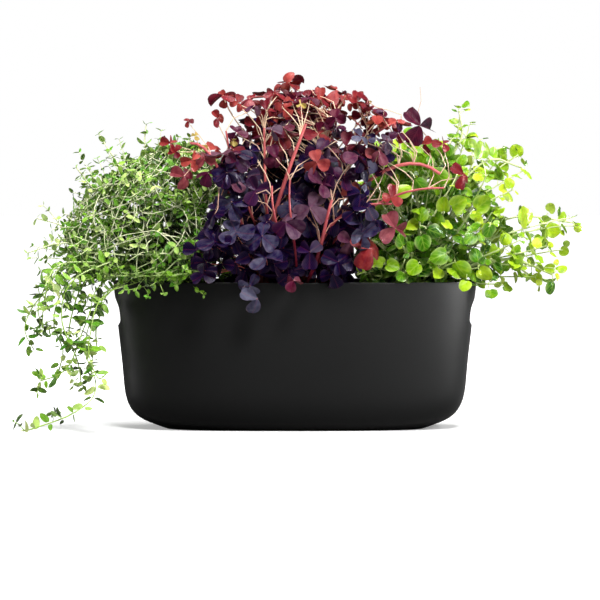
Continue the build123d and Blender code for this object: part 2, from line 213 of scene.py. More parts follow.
def any_side(direction: Vector, turn: float) -> Vector:
    """A unit vector square to a direction, turned about it by an angle.

    Args:
        direction: The direction.
        turn: The angle in radians.

    Returns:
        The unit vector.
    """
    side = direction.cross(UP)
    if side.length < TINY:
        side = Vector((1.0, 0.0, 0.0))
    side.normalize()
    return (Matrix.Rotation(turn, 3, direction) @ side).normalized()


def clamped(value: float, low: float = 0.0, high: float = 1.0) -> float:
    """A value kept between two limits."""
    return min(max(value, low), high)


def any_turn(rng: random.Random) -> float:
    """An angle anywhere in a whole turn."""
    return rng.uniform(0, math.tau)


def stray(rng: random.Random, size: float) -> Vector:
    """A vector of up to a size along each axis."""
    return Vector([rng.uniform(-size, size) for _ in range(3)])


def jittered(rng: random.Random, point: Vector, size: float) -> Vector:
    """A point moved by up to a size along each axis."""
    return point + stray(rng, size)


def linked(name: str, data: bpy.types.ID) -> bpy.types.Object:
    """Makes an object of a mesh, a curve, a lamp or a camera and links it to the scene.

    Args:
        name: The object's name.
        data: What it is made of.

    Returns:
        The object.
    """
    made = bpy.data.objects.new(name, data)
    bpy.context.scene.collection.objects.link(made)
    return made


def mesh_of(bm: bmesh.types.BMesh, name: str) -> bpy.types.Mesh:
    """Turns an edited mesh into a mesh with a name and frees it.

    Args:
        bm: The edited mesh.
        name: The new mesh's name.

    Returns:
        The mesh.
    """
    mesh = bpy.data.meshes.new(name)
    bm.to_mesh(mesh)
    bm.free()
    return mesh


@dataclass(frozen=True)
class Blade:
    """A thin closed leaf blade one unit long that grows from the origin along +X, upper side up.

    It is a round blade whose width is changed along its length by a function of the share of the length.
    """

    name: str
    width: Callable[[float], float]
    along: int
    across: int
    fold: float = 0.2
    curl: float = 0.15
    twist: float = 0.0
    ripple: float = 0.0
    notch: float = 0.0
    cleft: float = 0.0
    thickness: float = 0.03
    camber: float = 0.3
    waves: float = 7.0
    dent_width: float = 0.55

    @staticmethod
    def on_disc(u: float, v: float) -> tuple[float, float]:
        """Where a point of the square from -1 to 1 goes on the round blade."""
        return u * math.sqrt(1 - v * v / 2), v * math.sqrt(1 - u * u / 2)

    def shaped(self, u: float, v: float) -> Vector:
        """Where a point of the flat square grid goes on the blade.

        Args:
            u: How far along, from -1 to 1.
            v: How far to a side, from -1 to 1.

        Returns:
            The point, one unit being the blade's length.
        """
        disc_x, disc_y = self.on_disc(u, v)
        share = (disc_x + 1) / 2
        side = disc_y * self.width(share)
        middle = max(0.0, 1 - abs(disc_y) / self.dent_width)
        dent = middle * (self.notch * share**3 - self.cleft * (1 - share)**3)
        bend = self.fold * abs(side) - self.curl * share**2 - self.camber * side * side
        bend += self.twist * side * share + self.ripple * math.sin(self.waves * (share + disc_y)) * abs(disc_y)
        return Vector((share - dent, side, bend))

    def template(self) -> bpy.types.Mesh:
        """Builds the blade's mesh, with a UV map along and across it, slot 1 for the underside."""
        bm = bmesh.new()
        uv = bm.loops.layers.uv.new(LEAF_MAP)
        bmesh.ops.create_grid(bm, x_segments=self.along, y_segments=self.across, size=1.0)
        inner = [vert for vert in bm.verts if not vert.is_boundary]
        for vert in bm.verts:
            flat = vert.co.copy()
            vert.co = self.shaped(flat.x, flat.y)
            for loop in vert.link_loops:
                loop[uv].uv = [(place + 1) / 2 for place in self.on_disc(flat.x, flat.y)]
        copied = bmesh.ops.duplicate(bm, geom=list(bm.faces))
        under = [item for item in copied["geom"] if isinstance(item, bmesh.types.BMFace)]
        lift = UP * (self.thickness / 2)
        for vert in inner:
            vert.co += lift
            copied["vert_map"][vert].co -= lift
        bmesh.ops.reverse_faces(bm, faces=under)
        for face in under:
            face.material_index = 1
        bmesh.ops.remove_doubles(bm, verts=bm.verts, dist=1e-5)
        return mesh_of(bm, self.name)

    def arrays(self) -> dict[str, np.ndarray]:
        """The numbers of the blade's mesh, by Blender's names: places and maps as rows, the rest whole."""
        mesh = self.template()
        found = {}
        for items, label, width in ((mesh.vertices, "co", 3), (mesh.uv_layers[0].data, "uv", 2),
                                    (mesh.loops, "vertex_index", 0), (mesh.polygons, "loop_start", 0),
                                    (mesh.polygons, "loop_total", 0), (mesh.polygons, "material_index", 0)):
            row = np.empty(len(items) * (width or 1), dtype=np.float64 if width else np.int32)
            items.foreach_get(label, row)
            found[label] = row.reshape(-1, width) if width else row
        bpy.data.meshes.remove(mesh)
        return found


@dataclass
class Foliage:
    """Many copies of a few blades, gathered into one mesh."""

    blades: Sequence[Blade]
    rng: random.Random
    places: list[tuple[int, np.ndarray, float, float]] = field(default_factory=list)
    sharp_angle: float = 70.0

    def add(self, origin: Vector, along: Vector, facing: Vector, size: float, tone: float, warmth: float,
            widths: tuple[float, float] | None = None) -> None:
        """Puts one leaf in place, of any of the blades.

        Args:
            origin: Where the blade grows from.
            along: The direction of its midrib.
            facing: The direction that its upper side looks towards.
            size: Its length in metres.
            tone: From 0, dark, to 1, light.
            warmth: From 0, the plant's cool colour, to 1, its warm one.
            widths: The range of its width beside the blade's own, or None for just that.
        """
        blade = self.rng.randrange(len(self.blades))
        width = self.rng.uniform(*widths) if widths else 1.0
        x = along.normalized()
        y = facing.cross(x)
        if y.length < TINY:
            y = x.orthogonal()
        y.normalize()
        z = x.cross(y)
        rows = [[x[i] * size, y[i] * size * width, z[i] * size, origin[i]] for i in range(3)]
        self.places.append((blade, np.array(rows), tone, warmth))

    def build(self, name: str, materials: Sequence[Material]) -> bpy.types.Object:
        """Makes one object of all the leaves.

        Args:
            name: The piece's name.
            materials: The finish of the upper side, then that of the underside.

        Returns:
            The object, linked to the scene.
        """
        parts = defaultdict(list)
        first_vertex = first_corner = 0
        for index, blade in enumerate(self.blades):
            chosen = [place for place in self.places if place[0] == index]
            if not chosen:
                continue
            shape = blade.arrays()
            frames = np.array([place[1] for place in chosen])
            moved = np.einsum("kij,nj->kni", frames[:, :, :3], shape["co"]) + frames[:, None, :, 3]
            count, points, corners = len(chosen), len(shape["co"]), len(shape["vertex_index"])
            number = np.arange(count)[:, None]
            parts["co"].append(moved.reshape(-1, 3))
            parts["vertex_index"].append((shape["vertex_index"] + first_vertex + number * points).ravel())
            parts["loop_start"].append((shape["loop_start"] + first_corner + number * corners).ravel())
            parts["uv"].append(np.tile(shape["uv"], (count, 1)))
            for label in ("loop_total", "material_index"):
                parts[label].append(np.tile(shape[label], count))
            for label, column in (("tone", 2), ("warmth", 3)):
                parts[label].append(np.repeat([place[column] for place in chosen], points))
            first_vertex += count * points
            first_corner += count * corners
        whole = {label: np.concatenate(rows) for label, rows in parts.items()}
        mesh = bpy.data.meshes.new(name)
        mesh.vertices.add(first_vertex)
        mesh.loops.add(first_corner)
        mesh.polygons.add(len(whole["loop_start"]))
        mesh.vertices.foreach_set("co", whole["co"].ravel())
        mesh.loops.foreach_set("vertex_index", whole["vertex_index"])
        for label in ("loop_start", "loop_total", "material_index"):
            mesh.polygons.foreach_set(label, whole[label])
        mesh.uv_layers.new(name=LEAF_MAP).data.foreach_set("uv", whole["uv"].ravel())
        for label in ("tone", "warmth"):
            layer = mesh.attributes.new(label, "FLOAT", "POINT")
            layer.data.foreach_set("value", whole[label].astype(np.float32))
        mesh.update(calc_edges=True)
        mesh.validate()
        for material in materials:
            mesh.materials.append(material)
        mesh.shade_smooth()
        mesh.set_sharp_from_angle(angle=math.radians(self.sharp_angle))
        return linked(name, mesh)


@dataclass
class Stems:
    """Round tapering stems, gathered into one mesh. The bevel is Blender's count of extra sides."""

    bevel: int = 1
    routes: list[tuple[list[Vector], float, float, int]] = field(default_factory=list)
    step: float = 0.009
    fewest: int = 4
    most: int = 14

    def add(self, points: Route, start: float, end: float, slot: int = 0) -> None:
        """Adds a stem along a Bezier curve, with the radii at both ends in metres and the number of its finish."""
        self.routes.append(([point.copy() for point in points], start, end, slot))

    def build(self, name: str, materials: Sequence[Material]) -> bpy.types.Object:
        """Makes one mesh object of all the stems.

        Args:
            name: The piece's name.
            materials: Finishes, by slot.

        Returns:
            The object, linked to the scene.
        """
        curve = bpy.data.curves.new(name + "_lines", "CURVE")
        curve.dimensions = "3D"
        curve.bevel_depth = 1.0
        curve.bevel_resolution = self.bevel
        curve.use_fill_caps = True
        for material in materials:
            curve.materials.append(material)
        for points, start, end, slot in self.routes:
            count = clamped(int(bezier_length(points) / self.step), self.fewest, self.most)
            line = curve.splines.new("POLY")
            line.points.add(count - 1)
            line.material_index = slot
            line.use_smooth = True
            for step, point in enumerate(line.points):
                share = step / (count - 1)
                point.co = (*bezier(points, share), 1.0)
                point.radius = start + (end - start) * share
        lines = linked(name + "_lines", curve)
        graph = bpy.context.evaluated_depsgraph_get()
        mesh = bpy.data.meshes.new_from_object(lines.evaluated_get(graph), depsgraph=graph)
        mesh.name = name
        bpy.data.objects.remove(lines)
        bpy.data.curves.remove(curve)
        return linked(name, mesh)


@dataclass(frozen=True)
class Board:
    """A node tree with short ways to add, feed and join nodes."""

    tree: NodeTree

    def feed(self, node: Node, inputs: dict[str | int, object]) -> Node:
        """Gives inputs of a node a value, or a link where the value is a socket.

        Args:
            node: The node.
            inputs: The values by the inputs' names or numbers.

        Returns:
            The same node.
        """
        for label, value in inputs.items():
            if isinstance(value, Socket):
                self.tree.links.new(value, node.inputs[label])
            else:
                node.inputs[label].default_value = value
        return node

    def add(self, kind: str, inputs: dict[str | int, object] | None = None, **settings: object) -> Node:
        """Adds a node, sets its properties and feeds its inputs.

        Args:
            kind: Blender's name of the node.
            inputs: Values or sockets by input.
            settings: Properties of the node.

        Returns:
            The node.
        """
        node = self.tree.nodes.new(kind)
        for label, value in settings.items():
            setattr(node, label, value)
        return self.feed(node, inputs or {})

    def sum(self, operation: str, first: object, second: object = 0.0, clamp: bool = False) -> Socket:
        """Adds a maths node, by Blender's name of it, on sockets or numbers; clamped is from 0 to 1."""
        return self.add("ShaderNodeMath", {0: first, 1: second}, operation=operation, use_clamp=clamp).outputs[0]

    def mix(self, share: object, first: object, second: object) -> Socket:
        """Adds a mix of two sockets or colours, by the share of the second one."""
        first, second = ((*value, 1.0) if isinstance(value, tuple) else value for value in (first, second))
        return self.add("ShaderNodeMix", {0: share, 6: first, 7: second}, data_type="RGBA").outputs[2]

    def noise(self, place: Socket, scale: object, detail: float = 2.0) -> Socket:
        """Adds a noise texture and returns its value."""
        return self.add("ShaderNodeTexNoise", {"Scale": scale, "Detail": detail, "Vector": place}).outputs[0]

    def attribute(self, label: str) -> Socket:
        """The value of a mesh attribute."""
        return self.add("ShaderNodeAttribute", attribute_name=label).outputs["Fac"]

    def axis(self, place: Socket, number: int) -> Socket:
        """One axis of a vector."""
        return self.add("ShaderNodeSeparateXYZ", {0: place}).outputs[number]

    def between(self, value: Socket, low: float, high: float, start: float = 0.0) -> Socket:
        """Adds a ramp from a start to 1 while a value goes from low to high."""
        inputs = {"Value": value, "From Min": low, "From Max": high, "To Min": start, "To Max": 1.0}
        return self.add("ShaderNodeMapRange", inputs).outputs[0]


def new_group(name: str, numbers: dict[str, float],
              outputs: Sequence[str]) -> tuple[Board, Node, Node]:
    """Starts a shader node group with a vector input.

    Args:
        name: The group's name.
        numbers: Name and starting value of its other inputs.
        outputs: Names of its outputs, all numbers.

    Returns:
        A board on the group's tree, and its input and output nodes.
    """
    tree = bpy.data.node_groups.new(name, "ShaderNodeTree")
    tree.interface.new_socket("Vector", in_out="INPUT", socket_type="NodeSocketVector")
    for label, value in numbers.items():
        tree.interface.new_socket(label, in_out="INPUT", socket_type="NodeSocketFloat").default_value = value
    for label in outputs:
        tree.interface.new_socket(label, in_out="OUTPUT", socket_type="NodeSocketFloat")
    board = Board(tree)
    return board, board.add("NodeGroupInput"), board.add("NodeGroupOutput")


def grain_group() -> NodeTree:
    """Fine grain of moulded or fibrous surfaces: a value about 1 and a height."""
    broad_scale, detail, fine_share, broad_share = 22.0, 3.0, 0.6, 0.4
    board, start, end = new_group("fine_grain", {"Scale": 400.0, "Amount": 0.1}, ("Value", "Height"))
    place = start.outputs["Vector"]
    fine = board.noise(place, start.outputs["Scale"], detail)
    broad = board.noise(place, broad_scale, detail)
    both = board.sum("ADD", board.sum("MULTIPLY", fine, fine_share), board.sum("MULTIPLY", broad, broad_share))
    centred = board.sum("MULTIPLY", board.sum("SUBTRACT", both, 0.5), start.outputs["Amount"])
    board.feed(end, {"Value": board.sum("ADD", centred, 1.0), "Height": fine})
    return board.tree


def vein_group() -> NodeTree:
    """Veins of a leaf from its own map: a midrib and slanting side veins, as a mask."""
    midrib_sharpness, vein_sharpness, edge_sharpness, full_turn = 9.0, 7.0, 4.0, 6.283
    near_share, fading_share = 0.8, 0.6
    board, start, end = new_group("leaf_veins", {"Pairs": 5.0, "Slant": 0.7}, ("Veins", "Edge"))
    parts = board.add("ShaderNodeSeparateXYZ", {0: start.outputs["Vector"]})
    side = board.sum("MULTIPLY", board.sum("ABSOLUTE", board.sum("SUBTRACT", parts.outputs[1], 0.5)), 2.0)
    midrib = board.sum("SUBTRACT", 1.0, board.sum("MULTIPLY", side, midrib_sharpness), clamp=True)
    slanted = board.sum("SUBTRACT", parts.outputs[0], board.sum("MULTIPLY", side, start.outputs["Slant"]))
    turns = board.sum("MULTIPLY", board.sum("MULTIPLY", slanted, start.outputs["Pairs"]), full_turn)
    waves = board.sum("ADD", board.sum("MULTIPLY", board.sum("SINE", turns), 0.5), 0.5)
    fading = board.sum("SUBTRACT", near_share, board.sum("MULTIPLY", side, fading_share))
    lines = board.sum("MULTIPLY", board.sum("POWER", waves, vein_sharpness), fading, clamp=True)
    board.feed(end, {"Veins": board.sum("MAXIMUM", midrib, lines), "Edge": board.sum("POWER", side, edge_sharpness)})
    return board.tree


def new_material(name: str) -> tuple[Material, Board, Node]:
    """Starts a material and returns it with its board and its Principled shader."""
    material = bpy.data.materials.new(name)
    material.use_nodes = True
    return material, Board(material.node_tree), material.node_tree.nodes["Principled BSDF"]


@dataclass(frozen=True)
class Surface:
    """A material in the making, with the grain that shows in its colour, roughness and relief."""

    look: "LeafFinish | StemFinish | PlasticFinish | EarthFinish"
    material: Material
    board: Board
    shader: Node
    place: Socket
    fine: Node

    @staticmethod
    def start(look: "LeafFinish | StemFinish | PlasticFinish | EarthFinish", grain: NodeTree) -> "Surface":
        """Starts the material of a finish, with the shared grain group in it.

        Args:
            look: The finish.
            grain: The shared group.

        Returns:
            The surface, to be finished.
        """
        material, board, shader = new_material(look.name)
        place = board.add("ShaderNodeTexCoord").outputs["Object"]
        inputs = {"Scale": look.grain_scale, "Amount": look.grain_amount, "Vector": place}
        fine = board.add("ShaderNodeGroup", inputs, node_tree=grain)
        return Surface(look, material, board, shader, place, fine)

    def finish(self, colour: Socket, height: Socket | None = None, more: dict[str, object] | None = None) -> Material:
        """Joins colour, roughness, gloss and relief to the shader.

        Args:
            colour: The colour before the grain.
            height: The relief, where it isn't just the grain.
            more: Other inputs of the shader.

        Returns:
            The finished material.
        """
        board, look, value = self.board, self.look, self.fine.outputs["Value"]
        graded = board.add("ShaderNodeHueSaturation", {"Color": colour, "Value": value})
        relief = {"Strength": look.bump_strength, "Distance": look.bump_depth}
        bump = board.add("ShaderNodeBump", {**relief, "Height": height or self.fine.outputs["Height"]})
        board.feed(self.shader, {
            "Base Color": graded.outputs[0],
            "Roughness": board.sum("MULTIPLY", value, look.roughness, clamp=True),
            "Specular IOR Level": look.gloss,
            "Normal": bump.outputs[0],
            **(more or {}),
        })
        return self.material


@dataclass(frozen=True)
class LeafFinish:
    """The look of a leaf: three colours from dark to light for cool and for warm leaves, picked by a tone that
    carries painted shade and light, veins, a pale painted highlight along the rim, and gloss.
    """

    name: str
    cool: tuple[Colour, Colour, Colour]
    warm: tuple[Colour, Colour, Colour]
    vein: Colour
    vein_share: float
    # Painted highlight along the leaf's rim: its colour and how strongly it shows.
    rim_highlight: Colour
    rim_highlight_share: float
    pairs: float
    roughness: float
    gloss: float
    through: float = 0.0
    grain_scale: float = 900.0
    grain_amount: float = 0.35
    grain_height: float = 0.4
    blotch_scale: float = 160.0
    blotch_amount: float = 0.7
    bump_strength: float = 0.25
    bump_depth: float = 0.0004

    @staticmethod
    def ramp(board: Board, tone: Socket, dark: Colour, middle: Colour,
             light: Colour) -> Socket:
        """A ramp of three colours from dark to light.

        Args:
            board: The material's nodes.
            tone: From 0 to 1.
            dark: The colour at 0.
            middle: The colour halfway.
            light: The colour at 1.

        Returns:
            The colour.
        """
        node = board.add("ShaderNodeValToRGB", {0: tone})
        ramp = node.color_ramp
        ramp.elements[0].color, ramp.elements[1].color = (*dark, 1.0), (*light, 1.0)
        ramp.elements.new(0.5).color = (*middle, 1.0)
        return node.outputs[0]

    def material(self, grain: NodeTree, veins: NodeTree) -> Material:
        """Makes the material from the two shared groups.

        Args:
            grain: The shared grain.
            veins: The shared veins.

        Returns:
            The material.
        """
        surface = Surface.start(self, grain)
        board = surface.board
        mapped = board.add("ShaderNodeUVMap", uv_map=LEAF_MAP).outputs[0]
        vein = board.add("ShaderNodeGroup", {"Pairs": self.pairs, "Vector": mapped}, node_tree=veins).outputs
        patchy = board.sum("SUBTRACT", board.noise(surface.place, self.blotch_scale), 0.5)
        blotch = board.sum("MULTIPLY", patchy, self.blotch_amount)
        # The tone carries painted shade and light as well as each leaf's own tone.
        tone = board.sum("ADD", board.attribute("tone"), blotch, clamp=True)
        cool, warm = (self.ramp(board, tone, *colours) for colours in (self.cool, self.warm))
        colour = board.mix(board.attribute("warmth"), cool, warm)
        colour = board.mix(board.sum("MULTIPLY", vein["Veins"], self.vein_share), colour, self.vein)
        # Painted highlight: pale towards the leaf's rim.
        colour = board.mix(board.sum("MULTIPLY", vein["Edge"], self.rim_highlight_share), colour, self.rim_highlight)
        grained = board.sum("MULTIPLY", surface.fine.outputs["Height"], self.grain_height)
        height = board.sum("ADD", vein["Veins"], grained)
        return surface.finish(colour, height, {
            "Subsurface Weight": self.through,
            "Subsurface Radius": (0.004, 0.006, 0.001),
            "Subsurface Scale": 0.5,
        })


@dataclass(frozen=True)
class StemFinish:
    """The look of a stem: two colours along its height, fine fibres and a soft gloss."""

    name: str
    low: Colour
    high: Colour
    low_height: float
    high_height: float
    roughness: float = 0.45
    gloss: float = 0.5
    grain_scale: float = 1200.0
    grain_amount: float = 0.5
    patch_scale: float = 60.0
    patch_amount: float = 1.4
    bump_strength: float = 0.2
    bump_depth: float = 0.0002

    def material(self, grain: NodeTree) -> Material:
        """Makes the material.

        Args:
            grain: The shared grain.

        Returns:
            The material.
        """
        surface = Surface.start(self, grain)
        board = surface.board
        rise = board.between(board.axis(surface.place, 2), self.low_height, self.high_height)
        patchy = board.sum("SUBTRACT", board.noise(surface.place, self.patch_scale), 0.5)
        share = board.sum("ADD", rise, board.sum("MULTIPLY", patchy, self.patch_amount), clamp=True)
        return surface.finish(board.mix(share, self.low, self.high))


@dataclass(frozen=True)
class PlasticFinish:
    """Moulded plastic: a near-black colour, a fine eggshell grain and a painted highlight along the top edge, broken
    up by noise.
    """

    name: str
    colour: Colour
    rim_glint: Colour
    roughness: float
    gloss: float
    glint_height: float
    glint_band: float
    glint_scale: float = 140.0
    glint_detail: float = 4.0
    glint_amount: float = 0.8
    grain_scale: float = 2600.0
    grain_amount: float = 0.22
    bump_strength: float = 0.08
    bump_depth: float = 0.00008

    def material(self, grain: NodeTree) -> Material:
        """Makes the material.

        Args:
            grain: The shared grain.

        Returns:
            The material.
        """
        surface = Surface.start(self, grain)
        board = surface.board
        # Painted highlight: lighter in noisy patches at and above the top edge.
        near_rim = board.between(board.axis(surface.place, 2), self.glint_height - self.glint_band, self.glint_height)
        patchy = board.noise(surface.place, self.glint_scale, self.glint_detail)
        glint = board.sum("MULTIPLY", near_rim, board.sum("MULTIPLY", patchy, self.glint_amount), clamp=True)
        return surface.finish(board.mix(glint, self.colour, self.rim_glint))


@dataclass(frozen=True)
class EarthFinish:
    """Soil or felt: two colours broken up by coarse and fine noise, fully matt."""

    name: str
    dark: Colour
    light: Colour
    grain_scale: float
    bump_depth: float
    bump_strength: float = 0.7
    grain_amount: float = 0.8
    speck_detail: float = 5.0
    speck_sharpness: float = 2.0
    roughness: float = 0.9
    gloss: float = 0.5

    def material(self, grain: NodeTree) -> Material:
        """Makes the material.

        Args:
            grain: The shared grain.

        Returns:
            The material.
        """
        surface = Surface.start(self, grain)
        board = surface.board
        coarse = board.noise(surface.place, self.grain_scale / 3, self.speck_detail)
        return surface.finish(board.mix(board.sum("POWER", coarse, self.speck_sharpness), self.dark, self.light))


# The lighter second colour of each plastic is its painted highlight at the top edge.
TUB_PLASTIC = PlasticFinish("tub_black", (0.0022, 0.0022, 0.0023), (0.02, 0.02, 0.021), 0.47, 0.5, 0.15, 0.0016)
INNER_PLASTIC = PlasticFinish("inner_grey", (0.02, 0.02, 0.021), (0.05, 0.05, 0.052), 0.6, 0.3, 0.1415, 0.002)
FELT = EarthFinish("wick_felt", (0.42, 0.40, 0.36), (0.66, 0.64, 0.58), 2400.0, 0.0003)
SOIL = EarthFinish("potting_soil", (0.012, 0.008, 0.006), (0.09, 0.06, 0.04), 420.0, 0.0012)

THYME_LEAF = LeafFinish(
    "thyme_leaf",
    cool=((0.0, 0.02, 0.001), (0.065, 0.33, 0.003), (0.66, 0.97, 0.2)),
    warm=((0.008, 0.05, 0.002), (0.25, 0.55, 0.01), (0.9, 1.0, 0.4)),
    vein=(0.6, 0.7, 0.3), vein_share=0.3, rim_highlight=(0.66, 0.74, 0.4), rim_highlight_share=0.3,
    pairs=2.0, roughness=0.38, gloss=0.15, through=0.05,
)
THYME_UNDERSIDE = LeafFinish(
    "thyme_underside",
    cool=((0.02, 0.055, 0.01), (0.18, 0.33, 0.06), (0.58, 0.76, 0.28)),
    warm=((0.035, 0.07, 0.015), (0.31, 0.48, 0.09), (0.76, 0.9, 0.42)),
    vein=(0.65, 0.74, 0.4), vein_share=0.3, rim_highlight=(0.66, 0.74, 0.45), rim_highlight_share=0.2,
    pairs=2.0, roughness=0.6, gloss=0.18, through=0.05,
)
# The light end of the cool colours is a bluish-grey painted sheen.
SORREL_LEAF = LeafFinish(
    "sorrel_leaf",
    cool=((0.0, 0.0, 0.022), (0.002, 0.001, 0.042), (0.115, 0.12, 0.18)),
    warm=((0.024, 0.0, 0.005), (0.2, 0.009, 0.013), (0.54, 0.09, 0.065)),
    vein=(0.2, 0.03, 0.06), vein_share=0.3, rim_highlight=(0.22, 0.11, 0.16), rim_highlight_share=0.24,
    pairs=5.0, roughness=0.36, gloss=0.12, through=0.0,
)
SORREL_UNDERSIDE = LeafFinish(
    "sorrel_underside",
    cool=((0.0, 0.0, 0.02), (0.034, 0.014, 0.06), (0.28, 0.21, 0.25)),
    warm=((0.05, 0.001, 0.006), (0.27, 0.016, 0.014), (0.58, 0.15, 0.07)),
    vein=(0.4, 0.11, 0.14), vein_share=0.3, rim_highlight=(0.42, 0.23, 0.27), rim_highlight_share=0.22,
    pairs=5.0, roughness=0.5, gloss=0.12, through=0.0,
)
YOUNG_LEAF = LeafFinish(
    "sorrel_young_leaf",
    cool=((0.1, 0.08, 0.01), (0.3, 0.26, 0.035), (0.55, 0.5, 0.13)),
    warm=((0.16, 0.05, 0.012), (0.4, 0.22, 0.04), (0.62, 0.5, 0.16)),
    vein=(0.6, 0.5, 0.2), vein_share=0.3, rim_highlight=(0.6, 0.3, 0.16), rim_highlight_share=0.4,
    pairs=4.0, roughness=0.45, gloss=0.2, through=0.0,
)
CRESS_LEAF = LeafFinish(
    "cress_leaf",
    cool=((0.002, 0.045, 0.001), (0.035, 0.22, 0.001), (0.4, 0.68, 0.01)),
    warm=((0.02, 0.12, 0.001), (0.2, 0.42, 0.001), (0.62, 0.78, 0.02)),
    vein=(0.5, 0.72, 0.1), vein_share=0.35, rim_highlight=(0.8, 0.92, 0.36), rim_highlight_share=0.4,
    pairs=3.0, roughness=0.3, gloss=0.22, through=0.05,
)
CRESS_UNDERSIDE = LeafFinish(
    "cress_underside",
    cool=((0.02, 0.085, 0.006), (0.15, 0.37, 0.02), (0.5, 0.72, 0.12)),
    warm=((0.07, 0.2, 0.008), (0.34, 0.56, 0.03), (0.72, 0.84, 0.16)),
    vein=(0.62, 0.78, 0.25), vein_share=0.35, rim_highlight=(0.66, 0.8, 0.36), rim_highlight_share=0.25,
    pairs=3.0, roughness=0.5, gloss=0.22, through=0.05,
)
THYME_STEM = StemFinish("thyme_stem", (0.4, 0.64, 0.09), (0.97, 0.98, 0.66), 0.14, 0.20)
SORREL_STEM = StemFinish("sorrel_stem", (0.24, 0.008, 0.03), (0.7, 0.14, 0.14), 0.16, 0.27)
SORREL_STALK = StemFinish("sorrel_stalk", (0.46, 0.1, 0.08), (0.96, 0.72, 0.5), 0.17, 0.29)
CRESS_STEM = StemFinish("cress_stem", (0.42, 0.58, 0.12), (0.86, 0.93, 0.5), 0.14, 0.22)


@dataclass(frozen=True)
class Crown:
    """The outer form of a plant's dense mass, as on the solid model.

    Each level is a share of the growth height, then the shares of the reach to left, right, front and back.
    """

    centre_x: float
    levels: tuple[tuple[float, float, float, float, float], ...]

    def point(self, share: float, turn: float, out: float) -> Vector:
        """A point on the crown or inside it.

        Args:
            share: From 0 at its lowest level to 1 at its highest.
            turn: Angle about the plant's middle.
            out: From 0 at the middle to 1 on the surface.

        Returns:
            The point.
        """
        low, high = self.levels[0][0], self.levels[-1][0]
        height = low + (high - low) * share
        for under, over in zip(self.levels, self.levels[1:]):
            if under[0] <= height <= over[0]:
                part = (height - under[0]) / (over[0] - under[0])
                left, right, front, back = (a + (b - a) * part for a, b in zip(under[1:], over[1:]))
                break
        side, ahead = math.cos(turn), math.sin(turn)
        return Vector((
            self.centre_x + REACH * side * (right if side > 0 else left) * out,
            REACH * ahead * (back if ahead > 0 else front) * out,
            GROWTH_BASE + GROWTH * height,
        ))

    def outward(self, share: float, turn: float) -> Vector:
        """The direction that the crown's surface looks in at a point.

        Args:
            share: How far up the crown, from 0 to 1.
            turn: The angle around it.

        Returns:
            The unit vector outward.
        """
        step = 0.03
        level = clamped(share, step, 1 - step)
        around = self.point(level, turn + step, 1.0) - self.point(level, turn - step, 1.0)
        upward = self.point(level + step, turn, 1.0) - self.point(level - step, turn, 1.0)
        return around.cross(upward).normalized()


@dataclass(frozen=True)
class Dome:
    """Half an egg that a plant's stems end in, by its reach each way from the pot's middle.

    The lowest climb is a sine, and the sizes say how near to the surface the stems end.
    """

    centre_x: float
    left: float
    right: float
    front: float
    back: float
    up: float
    lift: float
    lowest: float
    sizes: tuple[float, float]

    def tip(self, rng: random.Random) -> Vector:
        """The end of a stem anywhere in the dome.

        Args:
            rng: The plant's random draws.

        Returns:
            The place.
        """
        turn = any_turn(rng)
        climb = math.asin(rng.uniform(self.lowest, 1.0))
        reach_x = self.right if math.cos(turn) > 0 else self.left
        reach_y = self.back if math.sin(turn) > 0 else self.front
        size = rng.uniform(*self.sizes)
        return Vector((
            self.centre_x + reach_x * math.cos(turn) * math.cos(climb) * size,
            reach_y * math.sin(turn) * math.cos(climb) * size,
            SOIL_TOP + self.lift + self.up * math.sin(climb) * size,
        ))


def root(rng: random.Random, centre_x: float) -> Vector:
    """A place on the soil that a stem grows from."""
    turn, size = any_turn(rng), ROOT_RADIUS * math.sqrt(rng.random())
    return Vector((centre_x + size * math.cos(turn), size * math.sin(turn), SOIL_TOP))


def growth(centre_x: float, shares: Triples) -> list[Vector]:
    """Points of a stem, as on the solid model: shares of the reach to the side and back, and of the growth."""
    return [Vector((centre_x + REACH * x, REACH * y, GROWTH_BASE + GROWTH * z)) for x, y, z in shares]


def wiry(rng: random.Random, start: Vector, end: Vector, rise: float, sag: float, wander: float) -> list[Vector]:
    """Control points of a thin stem that rises, wanders from side to side and sags towards its tip.

    Args:
        rng: Source of the wandering.
        start: Where it grows from.
        end: Its tip.
        rise: How far the bend is above the straight line, as a share of its length.
        sag: How far the part before the tip is above it, as a share of its length.
        wander: How far the middle points wander, as a share of its length.

    Returns:
        Five control points.
    """
    span = end - start
    length = span.length
    flat = Vector((span.x, span.y, 0.0))
    return [
        start,
        jittered(rng, start + flat * 0.1 + UP * length * (0.25 + rise * 0.6), length * wander * 0.5),
        jittered(rng, start + span * 0.45 + UP * length * rise, length * wander),
        jittered(rng, start + span * 0.82 + UP * length * sag, length * wander),
        end,
    ]


def to_camera(rng: random.Random, low: float, high: float) -> Vector:
    """A direction that looks towards the camera, a little aside and between two steepnesses."""
    return FRONT + Vector((rng.uniform(-0.6, 0.6), 0, rng.uniform(low, high)))


class Herb:
    """What the three plants share: each one gathers leaves and stems, then hangs them on its pot."""

    plant: Plant
    slot: str
    rng: random.Random
    leaves: Foliage
    stems: Stems

    def draw(self, low: float, high: float) -> float:
        """A random number between two others."""
        return self.rng.uniform(low, high)

    def hang(self, gathered: Foliage | Stems, name: str, finishes: Sequence[Material], *nodes: str) -> None:
        """Builds a piece and hangs it on the plant's pot, in place of the solids that it stands for."""
        dress(gathered.build(name, finishes), self.plant, self.slot, *nodes)


